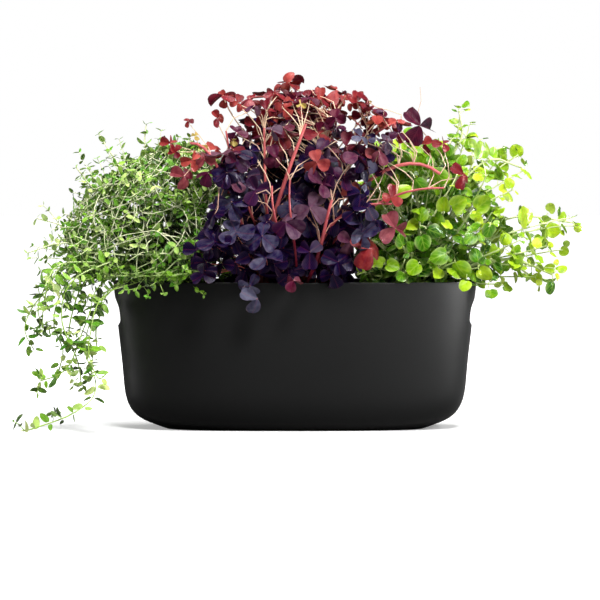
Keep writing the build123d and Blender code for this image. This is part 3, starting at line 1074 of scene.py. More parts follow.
THYME_CROWN = Crown(-0.117, (
    (0.025, 0.98, 0.53, 0.81, 0.83), (0.16, 1.11, 0.525, 0.82, 0.91), (0.3, 1.11, 0.52, 0.8, 0.9),
    (0.45, 0.85, 0.5, 0.75, 0.75), (0.57, 0.5, 0.41, 0.54, 0.5), (0.65, 0.18, 0.21, 0.22, 0.22),
))
SORREL_CROWN = Crown(0.0, (
    (0.035, 0.56, 0.56, 0.88, 0.76), (0.235, 0.56, 0.56, 0.92, 0.75), (0.485, 0.54, 0.54, 0.88, 0.7),
    (0.68, 0.44, 0.44, 0.66, 0.52), (0.82, 0.28, 0.28, 0.36, 0.32), (0.89, 0.12, 0.12, 0.13, 0.13),
))
CRESS_CROWN = Crown(0.117, (
    (0.035, 0.53, 0.81, 0.69, 0.85), (0.235, 0.52, 1.06, 0.69, 0.86), (0.42, 0.5, 0.86, 0.64, 0.77),
    (0.57, 0.4, 0.52, 0.48, 0.52), (0.65, 0.2, 0.22, 0.22, 0.22),
))


@dataclass
class Thyme(Herb):
    """Thyme: tangled wiry stems with pairs of small oval leaves, trailing over the left end."""

    plant: Plant = Plant.THYME
    slot: str = "thyme_green"
    centre_x: float = -POT_PITCH
    dome: Dome = Dome(
        -POT_PITCH, left=0.150, right=0.054, front=0.090, back=0.098, up=0.150, lift=0.02, lowest=-0.05,
        sizes=(0.4, 0.95),
    )
    stem_count: int = 130
    shoots_each: int = 2
    runner_count: int = 150
    outer_sprigs: int = 400
    leaf_size: float = 0.0104
    pair_gap: float = 0.0098
    trail_leaf: float = 0.0125
    trail_gap: float = 0.013
    stem_radius: float = 0.00062
    # Its right-hand limit beyond this far to the front, to the back and in between.
    beside: float = 0.052
    front_limit: float = -0.084
    back_limit: float = -0.075
    middle_limit: float = -0.0595
    # Nothing but the trailing stems is below the rim or left of the tub's end.
    rim: float = 0.150
    rim_front: float = -0.078
    tub_end: float = -0.190
    floor_gap: float = 0.006
    shoot_floor_gap: float = 0.012
    shoot_end: float = -0.196
    rng: random.Random = field(default_factory=lambda: random.Random(11))
    # Tips of the outermost sprigs in the photograph, as pixels and depths.
    outer_tips_px: Triples = (
        (31, 258, -0.03), (33, 246, 0.0), (46, 240, 0.02), (52, 230, -0.04), (64, 214, 0.03), (84, 198, -0.02),
        (80, 178, 0.0), (88, 165, -0.03), (97, 158, 0.03), (108, 152, -0.05), (119, 139, 0.0), (126, 154, 0.04),
        (141, 158, -0.05), (151, 148, 0.02), (161, 131, 0.0), (171, 144, -0.04), (182, 152, 0.03), (57, 266, -0.05),
        (68, 252, 0.05), (40, 270, 0.03), (75, 236, -0.07), (92, 214, 0.06), (115, 178, -0.07), (136, 170, -0.08),
        (204, 295, -0.088), (150, 286, -0.09), (124, 290, -0.085), (176, 284, -0.088), (136, 291, -0.09),
        (205, 268, -0.088), (205, 276, -0.09), (195, 200, -0.075), (204, 214, -0.07), (66, 290, -0.02),
        (90, 296, -0.05), (80, 280, -0.06), (108, 290, -0.08), (60, 284, 0.03),
    )
    # Free sprigs, as on the solid model.
    sprigs: tuple[Triples, ...] = (
        ((-0.7, -0.2, 0.12), (-1.15, -0.3, 0.18), (-1.52, -0.4, 0.13)),
        ((-0.7, 0.1, 0.14), (-1.2, 0.15, 0.26), (-1.48, 0.2, 0.3)),
        ((-0.6, 0.0, 0.28), (-0.9, -0.05, 0.46), (-1.05, -0.1, 0.56)),
        ((-0.45, -0.1, 0.45), (-0.68, -0.15, 0.62), (-0.82, -0.1, 0.73)),
        ((-0.25, 0.0, 0.5), (-0.36, 0.05, 0.66), (-0.35, 0.1, 0.78)),
        ((-0.1, -0.25, 0.48), (-0.05, -0.42, 0.63), (0.0, -0.5, 0.71)),
        ((-0.4, 0.5, 0.25), (-0.6, 0.95, 0.35), (-0.75, 1.12, 0.33)),
        ((0.1, 0.4, 0.3), (0.26, 0.85, 0.47), (0.3, 1.02, 0.56)),
        ((-0.7, 0.4, 0.15), (-1.15, 0.7, 0.2), (-1.38, 0.85, 0.15)),
        ((-0.65, -0.4, 0.08), (-1.15, -0.8, 0.08), (-1.3, -0.95, -0.03)),
    )
    # Stems that trail over the end, as pixels and depths.
    trails_px: tuple[Triples, ...] = (
        ((150, 262, -0.02), (112, 290, -0.05), (93, 315, -0.062), (86, 339, -0.072), (86, 356, -0.078),
         (95, 379, -0.088), (95, 392, -0.095), (88, 403, -0.104), (68, 416, -0.118), (44, 425, -0.124),
         (25, 431, -0.127)),
        ((110, 262, -0.02), (70, 262, -0.04), (52, 278, -0.05), (44, 302, -0.05), (42, 331, -0.045)),
        ((100, 272, 0.0), (60, 282, 0.005), (38, 300, 0.01), (28, 316, 0.01), (25, 332, 0.0),
         (34, 350, -0.005)),
        ((120, 270, -0.04), (96, 290, -0.06), (90, 312, -0.07), (80, 338, -0.075), (72, 360, -0.072),
         (60, 374, -0.07), (40, 381, -0.075)),
        ((110, 268, -0.01), (84, 284, -0.02), (73, 310, -0.02), (69, 338, -0.02), (78, 362, -0.02),
         (81, 382, -0.02)),
        ((130, 275, -0.04), (104, 294, -0.05), (101, 312, -0.055), (96, 330, -0.055), (97, 347, -0.05)),
        ((110, 265, 0.02), (74, 276, 0.03), (58, 300, 0.035), (54, 326, 0.03), (63, 350, 0.03),
         (59, 370, 0.03)),
        ((130, 280, -0.06), (100, 300, -0.08), (91, 330, -0.088), (89, 355, -0.09), (98, 378, -0.095),
         (106, 374, -0.1)),
        ((110, 262, -0.07), (78, 276, -0.08), (64, 296, -0.085), (62, 322, -0.08), (70, 344, -0.08)),
        ((105, 258, 0.05), (66, 268, 0.055), (44, 290, 0.055), (38, 312, 0.05), (47, 336, 0.045)),
    )

    def holds(self, point: Vector) -> bool:
        """True if a point is on the thyme's side of its neighbour.

        Args:
            point: The place.

        Returns:
            Whether it is.
        """
        if abs(point.y) > self.beside:
            return point.x < (self.back_limit if point.y > 0 else self.front_limit)
        return point.x < self.middle_limit

    def tips(self) -> list[Vector]:
        """Tips of all main stems: those of the photograph, then more all round."""
        found = [VIEW.place(*point) for point in self.outer_tips_px]
        while len(found) < self.stem_count:
            tip = self.dome.tip(self.rng)
            if self.holds(tip):
                found.append(tip)
        return found

    def shade(self, spot: Vector) -> float:
        """Painted shade and light of the leaves at a place: dark inside the mass and on the side of the neighbour,
        where shade falls, light outside, and a little darker where they hang low beyond the tub's end.

        Args:
            spot: The place.

        Returns:
            From 0, dark, to 1, light.
        """
        away = Vector(((spot.x - self.centre_x) / 0.13, spot.y / 0.10, (spot.z - 0.16) / 0.14)).length
        hanging = 0.1 if spot.x < self.tub_end and spot.z < 0.16 else 0.0
        inside = max(0.0, min(away, 1.05) - 0.45)
        return clamped(0.02 + 0.95 * inside - 4.0 * max(0.0, spot.x + 0.125) - hanging)

    def leafy(self, route: Route, start: float, gap: float, size: float) -> None:
        """Pairs of leaves along a route, with a small tuft at its tip.

        Args:
            route: Control points of the stem.
            start: Share of the stem that is bare.
            gap: Distance between pairs.
            size: Length of the largest leaves.
        """
        count = max(2, int(bezier_length(route) * (1 - start) / gap))
        quarter = self.draw(0, math.pi)
        own = self.rng.gauss(0.0, 0.12)
        for step in range(count + 1):
            share = start + (1 - start) * step / count
            spot, along = bezier(route, share), bezier_direction(route, share)
            if not self.holds(spot) or (spot.z < self.rim and spot.y > self.rim_front and spot.x > self.tub_end):
                continue
            # Painted shade and light from the place, with each leaf's own tone.
            tone = clamped(self.shade(spot) + own + self.rng.gauss(0.0, 0.24))
            warmth = self.rng.random()
            for half in (0, math.pi):
                side = any_side(along, quarter + half + self.draw(-0.4, 0.4))
                lean = side + along * self.draw(0.0, 0.8)
                reach = size * self.draw(0.55, 1.15) * (1 - 0.3 * share**4)
                outward = Vector((spot.x - self.centre_x, spot.y, spot.z - SOIL_TOP)).normalized()
                facing = along * 0.3 + UP * 0.4 + outward * self.draw(0.0, 1.4)
                self.leaves.add(spot, lean, facing, reach, tone, warmth)
            quarter += math.pi / 2

    def build(self, leaf: Sequence[Material], stem: Material) -> None:
        """Builds the plant and hangs it on its pot.

        Args:
            leaf: Finishes of the leaf's two sides.
            stem: Finish of the stems.
        """
        def oval(share: float) -> float:
            """Half width of a small oval leaf with a blunt point."""
            return 0.295 * (1.1 - 0.3 * share)

        blades = [
            Blade("thyme_leaf_a", oval, 3, 2, fold=0.35, curl=0.1, thickness=0.05),
            Blade("thyme_leaf_b", oval, 3, 2, fold=-0.15, curl=-0.3, thickness=0.05),
            Blade("thyme_leaf_c", oval, 3, 2, fold=0.1, curl=0.35, twist=0.5, thickness=0.05),
        ]
        self.leaves, self.stems = Foliage(blades, self.rng), Stems(bevel=0)
        for tip in self.tips():
            self.stem(tip)
        for shares in self.sprigs:
            for route in smooth_pieces(growth(self.centre_x, shares)):
                self.stems.add(route, self.stem_radius * 1.3, self.stem_radius * 1.1)
                self.leafy(route, 0.15, self.pair_gap * 1.1, self.leaf_size)
        for _ in range(self.runner_count):
            self.runner()
        self.hang(self.leaves, "thyme_leaves", leaf)
        self.leaves = Foliage(blades, self.rng)
        for _ in range(self.outer_sprigs):
            self.outer_sprig()
        self.hang(self.leaves, "thyme_outer_leaves", leaf, "thyme_crown")
        self.hang(self.stems, "thyme_stems", [stem], "thyme_sprigs")

        self.leaves, self.stems = Foliage(blades, self.rng), Stems(bevel=0)
        for points in self.trails_px:
            pieces = smooth_pieces([VIEW.place(*point) for point in points])
            for number, route in enumerate(pieces):
                self.stems.add(route, self.stem_radius * 1.15, self.stem_radius * 1.15)
                self.trail_leaves(route, last=number == len(pieces) - 1)
        self.hang(self.leaves, "thyme_trailing_leaves", leaf, "thyme_trailing_sprigs")
        self.hang(self.stems, "thyme_trailing_stems", [stem])

    def stem(self, tip: Vector) -> None:
        """A main stem from the soil to a tip, with its leaves and side shoots.

        Args:
            tip: Where it ends.
        """
        base = root(self.rng, self.centre_x)
        rise, sag = self.draw(0.02, 0.2), self.draw(0.0, 0.1)
        route = wiry(self.rng, base, tip, rise, sag, 0.07)
        self.stems.add(route, self.stem_radius * 1.1, self.stem_radius * 0.6)
        self.leafy(route, 0.22, self.pair_gap, self.leaf_size)
        for _ in range(self.shoots_each):
            share = self.draw(0.3, 0.9)
            spot, along = bezier(route, share), bezier_direction(route, share)
            side = any_side(along, any_turn(self.rng))
            end = spot + (side + along * 0.8 + UP * 0.2).normalized() * self.draw(0.015, 0.034)
            if not self.holds(end):
                continue
            shoot = [spot, spot.lerp(end, 0.5) + side * 0.005, end]
            self.stems.add(shoot, self.stem_radius * 0.8, self.stem_radius * 0.5)
            self.leafy(shoot, 0.3, self.pair_gap * 0.8, self.leaf_size * 0.85)

    def outer_sprig(self) -> None:
        """A short sprig on the outside of the mass."""
        share = self.rng.random() if self.rng.random() < 0.6 else self.draw(0.6, 1.0)
        turn = any_turn(self.rng)
        outward = THYME_CROWN.outward(share, turn)
        end = THYME_CROWN.point(share, turn, self.draw(0.88, 1.04))
        if share > 0.9:
            end = THYME_CROWN.point(share, turn, self.draw(0.0, 1.0))
        aim = jittered(self.rng, outward * 0.5 + UP * self.draw(-0.5, 0.6), 0.7).normalized()
        start = end - aim * self.draw(0.012, 0.026)
        if not (self.holds(start) and self.holds(end)) or start.z < self.rim:
            return
        route = [start, jittered(self.rng, start.lerp(end, 0.5), 0.005), end]
        self.stems.add(route, self.stem_radius, self.stem_radius * 0.6)
        self.leafy(route, 0.1, self.pair_gap * 0.75, self.leaf_size * 0.9)

    def runner(self) -> None:
        """A nearly bare stem that wanders over the outside of the mass."""
        share, turn = self.draw(0.0, 0.95), self.draw(math.pi * 0.6, math.pi * 2.1)
        rise, swing = self.draw(-0.16, 0.16), self.draw(-0.2, 0.2)
        points = []
        for _ in range(7):
            spot = THYME_CROWN.point(clamped(share), turn, self.draw(0.97, 1.07))
            points.append(jittered(self.rng, spot, 0.002))
            share, turn = share + rise, turn + swing
            rise += self.draw(-0.15, 0.13)
            swing += self.draw(-0.17, 0.17)
        if not all(self.holds(point) and point.z >= GROWTH_BASE for point in points):
            return
        for number, route in enumerate(smooth_pieces(points)):
            self.stems.add(route, self.stem_radius * 0.85, self.stem_radius * 0.8)
            if number % 2:
                self.leafy(route, 0.3, self.pair_gap * 1.5, self.leaf_size * 0.9)

    def trail_leaves(self, route: Route, last: bool) -> None:
        """Pairs of larger leaves along a stretch of a trailing stem, and a small shoot here and there.

        Args:
            route: Control points of the stretch.
            last: True for the stretch with the tip.
        """
        tones = (0.05, 0.3, 0.5, 0.7, 0.95)
        count = max(1, round(bezier_length(route) / self.trail_gap))
        quarter = self.draw(0, math.pi)
        for step in range(count + (1 if last else 0)):
            share = (step + 0.5) / count if step < count else 1.0
            spot, along = bezier(route, share), bezier_direction(route, share)
            if spot.x > self.tub_end and spot.z < self.rim:
                continue
            tone = clamped(self.rng.choice(tones) + self.draw(-0.1, 0.1))
            warmth = self.rng.random()
            for half in (0, math.pi):
                side = any_side(along, quarter + half + self.draw(-0.5, 0.5))
                lean = side + along * self.draw(-0.1, 0.7)
                reach = self.trail_leaf * self.draw(0.6, 1.15)
                facing = FRONT * self.draw(-0.2, 1.0) + UP * 0.6 + side * self.draw(-0.6, 0.6)
                foot = spot + side * 0.0015
                if (foot + lean.normalized() * reach).z < self.floor_gap:
                    lean = side * 0.5 + UP
                self.leaves.add(foot, lean, facing, reach, tone, warmth)
            if self.rng.random() < 0.45:
                side = any_side(along, any_turn(self.rng))
                end = spot + (side + along * 0.6).normalized() * self.draw(0.010, 0.020)
                if end.z > self.shoot_floor_gap and end.x < self.shoot_end:
                    shoot = [spot, spot.lerp(end, 0.5) + UP * 0.002, end]
                    self.stems.add(shoot, self.stem_radius * 0.8, self.stem_radius * 0.6)
                    self.leafy(shoot, 0.5, 0.009, self.leaf_size)
            quarter += math.pi / 2


@dataclass
class Sorrel(Herb):
    """Wood sorrel: fleshy pink stems, thin stalks, leaves of three spoon-shaped leaflets."""

    plant: Plant = Plant.SORREL
    slot: str = "sorrel_purple"
    core: float = 0.052
    # Beyond this far to a side its leaves lean over the neighbours, at these depths.
    lean_from: float = 0.058
    left_wing: tuple[float, float] = (-0.112, -0.090)
    right_wing: tuple[float, float] = (-0.116, -0.088)
    front_depths: tuple[float, float] = (-0.100, 0.02)
    back: float = 0.080
    front_leaves: int = 150
    high_leaves: int = 80
    back_leaves: int = 110
    low_leaves: int = 160
    outer_leaves: int = 150
    # Leaves below this height have stalks from the soil, and so have those that no stem suits better than this.
    low_hub: float = 0.215
    worst_cost: float = 0.075
    usual_stalk: float = 0.040
    stalk_radii: tuple[float, float] = (0.0006, 0.0004)
    # Shares of a fleshy stem that stalks grow at, and those places with the stem's direction there.
    node_shares: tuple[float, ...] = (0.3, 0.4, 0.5, 0.6, 0.7, 0.8, 0.9, 1.0)
    nodes: list[tuple[Vector, Vector]] = field(default_factory=list)
    clear_width_px: float = 13.0
    rng: random.Random = field(default_factory=lambda: random.Random(29))
    # Left and right edges of the purple mass in the photograph, from its top row down.
    mass_rows_px: Triples = (
        (88, 276, 318), (100, 258, 372), (112, 250, 394), (125, 244, 406), (140, 224, 398), (160, 212, 374),
        (180, 208, 366), (200, 215, 368), (218, 214, 378), (236, 200, 372), (260, 199, 352), (276, 204, 346),
    )
    # Leaves that stand out in the photograph: pixel, depth, leaflet length in millimetres, tone, warmth. Their tones
    # hold painted shade and light: the darkest lie where the mass is shaded.
    key_leaves_px: tuple[tuple[float, float, float, float, float, float], ...] = (
        (225, 99, -0.09, 10, 0.6, 1.0), (238, 103, -0.092, 10, 0.6, 1.0), (251, 101, -0.05, 11, 0.55, 0.95),
        (188, 121, -0.102, 7, 0.5, 1.0), (218, 118, -0.092, 10, 0.5, 1.0), (170, 143, -0.104, 10, 0.6, 1.0),
        (184, 176, -0.106, 15, 0.7, 0.7), (192, 160, -0.104, 12, 0.75, 1.0), (216, 149, -0.094, 10, 0.7, 1.0),
        (236, 136, -0.092, 11, 0.4, 0.5), (246, 133, -0.07, 12, 0.3, 0.8), (289, 83, -0.02, 13, 0.6, 1.0),
        (274, 92, 0.01, 12, 0.5, 1.0), (296, 97, -0.045, 14, 0.35, 0.6), (266, 110, -0.06, 13, 0.5, 0.9),
        (320, 100, -0.04, 13, 0.7, 1.0), (342, 98, -0.03, 9, 0.8, 1.0), (352, 104, -0.085, 8, 0.8, 1.0),
        (336, 118, -0.08, 13, 0.4, 0.5), (362, 116, -0.085, 12, 0.5, 0.8), (380, 118, -0.088, 12, 0.7, 1.0),
        (372, 130, -0.092, 12, 0.3, 0.8), (420, 126, -0.097, 20, 0.2, 0.6), (424, 144, -0.094, 10, 0.5, 1.0),
        (443, 144, -0.097, 10, 0.4, 1.0), (463, 175, -0.095, 13, 0.55, 1.0), (396, 134, -0.094, 12, 0.3, 0.8),
        (369, 248, -0.106, 21, 0.66, 1.0), (395, 228, -0.102, 18, 0.7, 0.6), (391, 197, -0.098, 12, 0.5, 1.0),
        (352, 192, -0.102, 12, 0.9, 0.9), (350, 242, -0.1, 14, 0.7, 0.3), (250, 286, -0.106, 14, 0.75, 0.0),
        (257, 299, -0.104, 16, 0.8, 0.0), (293, 281, -0.106, 12, 0.6, 0.5), (266, 258, -0.108, 19, 0.55, 0.0),
        (232, 205, -0.106, 18, 0.6, 0.0), (236, 232, -0.108, 18, 0.6, 0.0), (262, 236, -0.11, 18, 0.45, 0.0),
        (286, 222, -0.11, 19, 0.6, 0.2), (310, 208, -0.106, 19, 0.65, 0.2), (322, 184, -0.102, 17, 0.5, 0.3),
        (230, 180, -0.1, 16, 0.5, 0.3), (256, 190, -0.102, 17, 0.4, 0.15), (344, 178, -0.1, 16, 0.35, 0.2),
        (240, 160, -0.098, 14, 0.7, 0.6), (276, 158, -0.095, 14, 0.5, 0.4), (310, 252, -0.106, 16, 0.3, 0.05),
        (338, 262, -0.102, 15, 0.2, 0.0), (278, 138, -0.08, 13, 0.5, 0.9), (318, 134, -0.08, 14, 0.6, 0.9),
        (346, 146, -0.085, 14, 0.5, 0.6), (366, 158, -0.09, 14, 0.4, 0.6), (384, 168, -0.092, 12, 0.3, 0.4),
        (245, 271, -0.06, 16, 0.1, 0.0), (352, 262, -0.06, 16, 0.1, 0.0), (346, 273, -0.045, 15, 0.1, 0.0),
        (344, 266, -0.02, 16, 0.1, 0.0), (242, 262, -0.035, 17, 0.08, 0.0), (238, 274, -0.02, 17, 0.08, 0.0),
        (243, 214, -0.06, 15, 0.1, 0.0),
        (237, 232, -0.05, 17, 0.1, 0.0), (238, 222, -0.02, 17, 0.15, 0.0), (350, 238, -0.05, 16, 0.15, 0.0),
        (206, 262, -0.096, 17, 0.05, 0.0), (214, 244, -0.096, 17, 0.05, 0.0), (196, 250, -0.094, 15, 0.05, 0.0),
        (204, 159, -0.104, 11, 0.6, 0.7), (208, 173, -0.104, 13, 0.4, 0.4), (176, 152, -0.105, 9, 0.5, 1.0),
        (256, 124, -0.07, 13, 0.5, 1.0), (284, 108, -0.05, 12, 0.6, 1.0), (317, 162, -0.104, 15, 0.85, 0.9),
    )
    # Young yellow-green leaves.
    young_px: tuple[tuple[float, float, float, float], ...] = (
        (195, 136, -0.104, 6), (233, 141, -0.1, 6), (301, 104, -0.07, 6), (356, 98, -0.086, 5),
        (203, 146, -0.102, 5), (368, 101, -0.088, 4),
    )
    # Fleshy stems: control points as pixels and depths, then the radius in millimetres at both ends.
    stems_px: tuple[tuple[Triples, float, float], ...] = (
        (((262, 290, -0.02), (264, 230, -0.085), (288, 172, -0.112), (306, 124, -0.1)), 2.7, 1.5),
        (((300, 290, -0.03), (322, 262, -0.095), (322, 232, -0.112), (332, 200, -0.104)), 2.2, 1.5),
        (((310, 290, -0.025), (318, 226, -0.1), (340, 200, -0.106), (392, 204, -0.1)), 1.9, 1.0),
        (((300, 290, -0.02), (330, 190, -0.09), (402, 140, -0.1), (440, 174, -0.098)), 2.0, 1.6),
        (((305, 290, -0.02), (330, 170, -0.085), (380, 110, -0.094), (411, 124, -0.096)), 1.6, 1.0),
        (((300, 290, -0.03), (340, 215, -0.095), (390, 186, -0.1), (444, 188, -0.098)), 1.7, 1.0),
        (((276, 290, -0.02), (232, 226, -0.095), (222, 140, -0.106), (190, 143, -0.105)), 1.9, 1.3),
        (((280, 290, -0.015), (256, 220, -0.085), (232, 176, -0.095), (226, 131, -0.094)), 1.6, 1.0),
        (((284, 290, -0.01), (262, 230, -0.08), (266, 180, -0.1), (264, 128, -0.08)), 1.8, 1.1),
        (((300, 290, 0.0), (300, 220, -0.03), (318, 160, -0.05), (336, 112, -0.055)), 2.0, 1.0),
        (((290, 290, -0.02), (286, 240, -0.1), (270, 220, -0.112), (272, 186, -0.104)), 1.5, 1.0),
        (((296, 290, -0.025), (300, 250, -0.105), (286, 215, -0.114), (290, 180, -0.104)), 1.4, 0.9),
        (((300, 290, 0.02), (290, 200, 0.04), (276, 140, 0.06), (270, 112, 0.06)), 2.0, 1.0),
        (((310, 290, 0.02), (330, 210, 0.05), (336, 150, 0.07), (330, 116, 0.06)), 2.0, 1.0),
        (((290, 290, 0.03), (262, 220, 0.06), (256, 190, 0.074), (252, 160, 0.07)), 1.8, 1.0),
    )
    # Bare stretches of stem that no leaf hides: pixels at both ends and the depth.
    clear_px: tuple[tuple[tuple[float, float], tuple[float, float]], ...] = (
        ((304, 128), (276, 200)), ((325, 222), (316, 264)), ((210, 168), (220, 196)), ((266, 150), (264, 182)),
    )
    # Stalks that rise above the mass, as on the solid model.
    rising: tuple[Triples, ...] = (
        ((-0.26, -0.44, 0.58), (-0.6, -0.8, 0.8), (-0.71, -0.95, 0.91)),
        ((-0.2, -0.3, 0.65), (-0.38, -0.5, 0.82), (-0.45, -0.62, 0.9)),
        ((0.02, 0.0, 0.8), (-0.02, 0.02, 0.92), (-0.06, 0.0, 1.0)),
        ((-0.05, 0.1, 0.75), (-0.14, 0.28, 0.86), (-0.25, 0.42, 0.94)),
        ((0.15, -0.1, 0.75), (0.3, -0.22, 0.87), (0.42, -0.34, 0.95)),
        ((0.26, -0.44, 0.54), (0.6, -0.8, 0.76), (0.75, -0.98, 0.84)),
        ((0.1, 0.35, 0.55), (0.17, 0.75, 0.67), (0.2, 0.98, 0.76)),
        ((-0.1, 0.45, 0.4), (-0.2, 0.8, 0.46), (-0.25, 1.02, 0.55)),
        ((0.1, 0.45, 0.25), (0.24, 0.82, 0.3), (0.3, 1.02, 0.38)),
        ((0.2, 0.25, 0.65), (0.3, 0.5, 0.76), (0.35, 0.7, 0.88)),
    )
    tendril_px: Triples = (
        (417, 122, -0.093), (416, 110, -0.093), (425, 102, -0.09), (420, 87, -0.09),
    )

    def leaf(self, leaves: Foliage, hub: Vector, facing: Vector, size: float, tone: float, warmth: float,
             tidy: float = 1.0) -> None:
        """One leaf: three leaflets round a hub, folded and hanging a little.

        Args:
            leaves: Where the leaflets are gathered.
            hub: Where the stalk ends.
            facing: The direction that the leaf looks towards.
            size: A leaflet's length in metres.
            tone: From dark to light.
            warmth: From blue-purple to red.
            tidy: 1 for any droop, less for a flatter leaf.
        """
        facing = facing.normalized()
        start = any_turn(self.rng)
        droop = self.draw(0.05, 1.1) * tidy
        for step in range(3):
            turn = start + step * math.tau / 3 + self.draw(-0.15, 0.15)
            side = any_side(facing, turn)
            along = (side - facing * droop * self.draw(0.7, 1.3)).normalized()
            up = (facing + side * droop).normalized()
            up = (up + any_side(facing, self.draw(0, 6.28)) * 0.25).normalized()
            own = clamped(tone + self.draw(-0.18, 0.18))
            leaves.add(hub, along, up, size * self.draw(0.88, 1.1), own, warmth, widths=(0.85, 1.1))

    def stalk(self, hub: Vector, facing: Vector) -> None:
        """A thin stalk from the best place on a stem, or from the soil, up to a leaf.

        Args:
            hub: Where the leaf is.
            facing: The direction that the leaf looks towards.
        """
        def cost(node: tuple[Vector, Vector]) -> float:
            """How badly a place suits the leaf: a stalk is short and rises more than it strays."""
            gap = hub - node[0]
            aside = max(0.0, math.hypot(gap.x, gap.y) - gap.z)
            return abs(gap.length - self.usual_stalk) + 0.5 * aside + self.draw(0.0, 0.03)

        lowest, number = min((cost(node), number) for number, node in enumerate(self.nodes))
        spot, along = self.nodes[number]
        if hub.z < self.low_hub:
            spot, along = Vector((clamped(hub.x, -0.04, 0.04), clamped(hub.y * 0.6, -0.036, 0.036), SOIL_TOP)), UP
        elif lowest > self.worst_cost:
            turn = any_turn(self.rng)
            spot, along = Vector((0.03 * math.cos(turn), 0.03 * math.sin(turn), SOIL_TOP)), UP
        reach = (hub - spot).length
        middle = spot + (along + UP).normalized() * reach * 0.45
        end = hub - facing.normalized() * reach * 0.25
        self.stems.add([spot, middle, end, hub], *self.stalk_radii, slot=1)

    def edges(self, py: float) -> tuple[float, float]:
        """Left and right edge of the purple mass at a pixel row.

        Args:
            py: The row.

        Returns:
            The two edges in pixels.
        """
        rows = self.mass_rows_px
        for (top, left, right), (base, next_left, next_right) in zip(rows, rows[1:]):
            if top <= py <= base:
                share = (py - top) / (base - top)
                return left + (next_left - left) * share, right + (next_right - right) * share
        return rows[-1][1:]

    def hides_stem(self, px: float, py: float) -> bool:
        """True if a leaf at a pixel would hide a bare stretch of stem.

        Args:
            px: Pixels from the left.
            py: Pixels from the top.

        Returns:
            Whether it would.
        """
        spot = Vector((px, py))
        for start, end in ((Vector(start), Vector(end)) for start, end in self.clear_px):
            share = clamped((spot - start).dot(end - start) / (end - start).length_squared)
            if (spot - start.lerp(end, share)).length < self.clear_width_px:
                return True
        return False

    def front_filling(self) -> Places:
        """Hub, leaflet size, tone and warmth of the leaves that fill the front, within the photograph's outline."""
        found = []
        top, base = self.mass_rows_px[0][0], self.mass_rows_px[-1][0]
        while len(found) < self.front_leaves + self.high_leaves:
            high = len(found) >= self.front_leaves
            py = self.draw(top, 170) if high else self.draw(150, base)
            px = self.draw(*self.edges(py))
            across = VIEW.place(px, py, 0.0).x
            depths = self.front_depths
            if abs(across) > self.lean_from:
                depths = self.left_wing if across < 0 else self.right_wing
            near = self.draw(*depths)
            if near < -0.05 and self.hides_stem(px, py):
                continue
            spot = VIEW.place(px, py, near)
            if abs(spot.x) > self.core and near > -0.078:
                continue
            warmth = clamped((162 - py) / 55 + self.draw(-0.8, 0.6))
            # Painted shade: darker farther back, towards the rim and at the mass's lower left; the high leaves get
            # painted light.
            depth = clamped((near + 0.02) / -0.09)
            rim = clamped((py - 215) / 60)
            shade = 0.35 if px < 246 and py > 205 else 1.0
            tone = self.draw(0.0, 0.9) * (0.3 + 0.7 * depth) * (1 - 0.8 * rim) * shade
            tone += 0.12 if high else 0.0
            size = self.draw(0.009, 0.0135) if py < 150 else self.draw(0.0125, 0.0185)
            found.append((spot, size, tone, warmth))
        return found

    def back_filling(self) -> Places:
        """The same for the side that the photograph doesn't show."""
        found = []
        for _ in range(self.back_leaves):
            height = self.draw(0.165, 0.335)
            narrow = 1.0 - 0.7 * max(0.0, (height - 0.26) / 0.09) ** 1.6
            spot = Vector((
                self.draw(-self.core, self.core) * narrow,
                self.draw(0.2, 1.0) * self.back * narrow,
                height,
            ))
            warmth = clamped((height - 0.245) / 0.06 + self.draw(-0.9, 0.6))
            found.append((spot, self.draw(0.011, 0.017), self.draw(0.0, 0.7), warmth))
        return found

    def low_filling(self) -> Places:
        """The same for the leaves just above the soil, kept dark as painted shade."""
        found = []
        for _ in range(self.low_leaves):
            spot = Vector((
                self.draw(-self.core, self.core),
                self.draw(-0.084, 0.075),
                self.draw(0.154, 0.205),
            ))
            # A low tone: painted shade just above the soil.
            found.append((spot, self.draw(0.014, 0.018), self.draw(0.0, 0.2), 0.0))
        return found

    def outer_filling(self) -> Places:
        """The same for the outside of the mass, most of all its top."""
        found = []
        while len(found) < self.outer_leaves:
            share = self.draw(0.1, 1.0) if self.rng.random() < 0.5 else self.draw(0.6, 1.0)
            turn = any_turn(self.rng)
            spot = SORREL_CROWN.point(share, turn, self.draw(0.7, 1.02))
            if abs(spot.x) > self.core - 0.004 or (spot.y < -0.03 and self.hides_stem(*VIEW.pixel(spot))):
                continue
            warmth = clamped((spot.z - 0.255) / 0.055 + self.draw(-0.8, 0.6))
            found.append((spot, self.draw(0.011, 0.017), self.draw(0.0, 0.85), warmth))
        return found

    def build(self, leaf: Sequence[Material], young: Sequence[Material],
              fleshy: Material, thin: Material) -> None:
        """Builds the plant and hangs it on its pot.

        Args:
            leaf: Finishes of the leaf's two sides.
            young: Finishes of the young green leaves' two sides.
            fleshy: Finish of the thick stems.
            thin: Finish of the stalks.
        """
        def spoon(share: float) -> float:
            """Half width of a spoon-shaped leaflet, narrow at its foot and widest beyond its middle."""
            return 0.26 + 0.34 * share

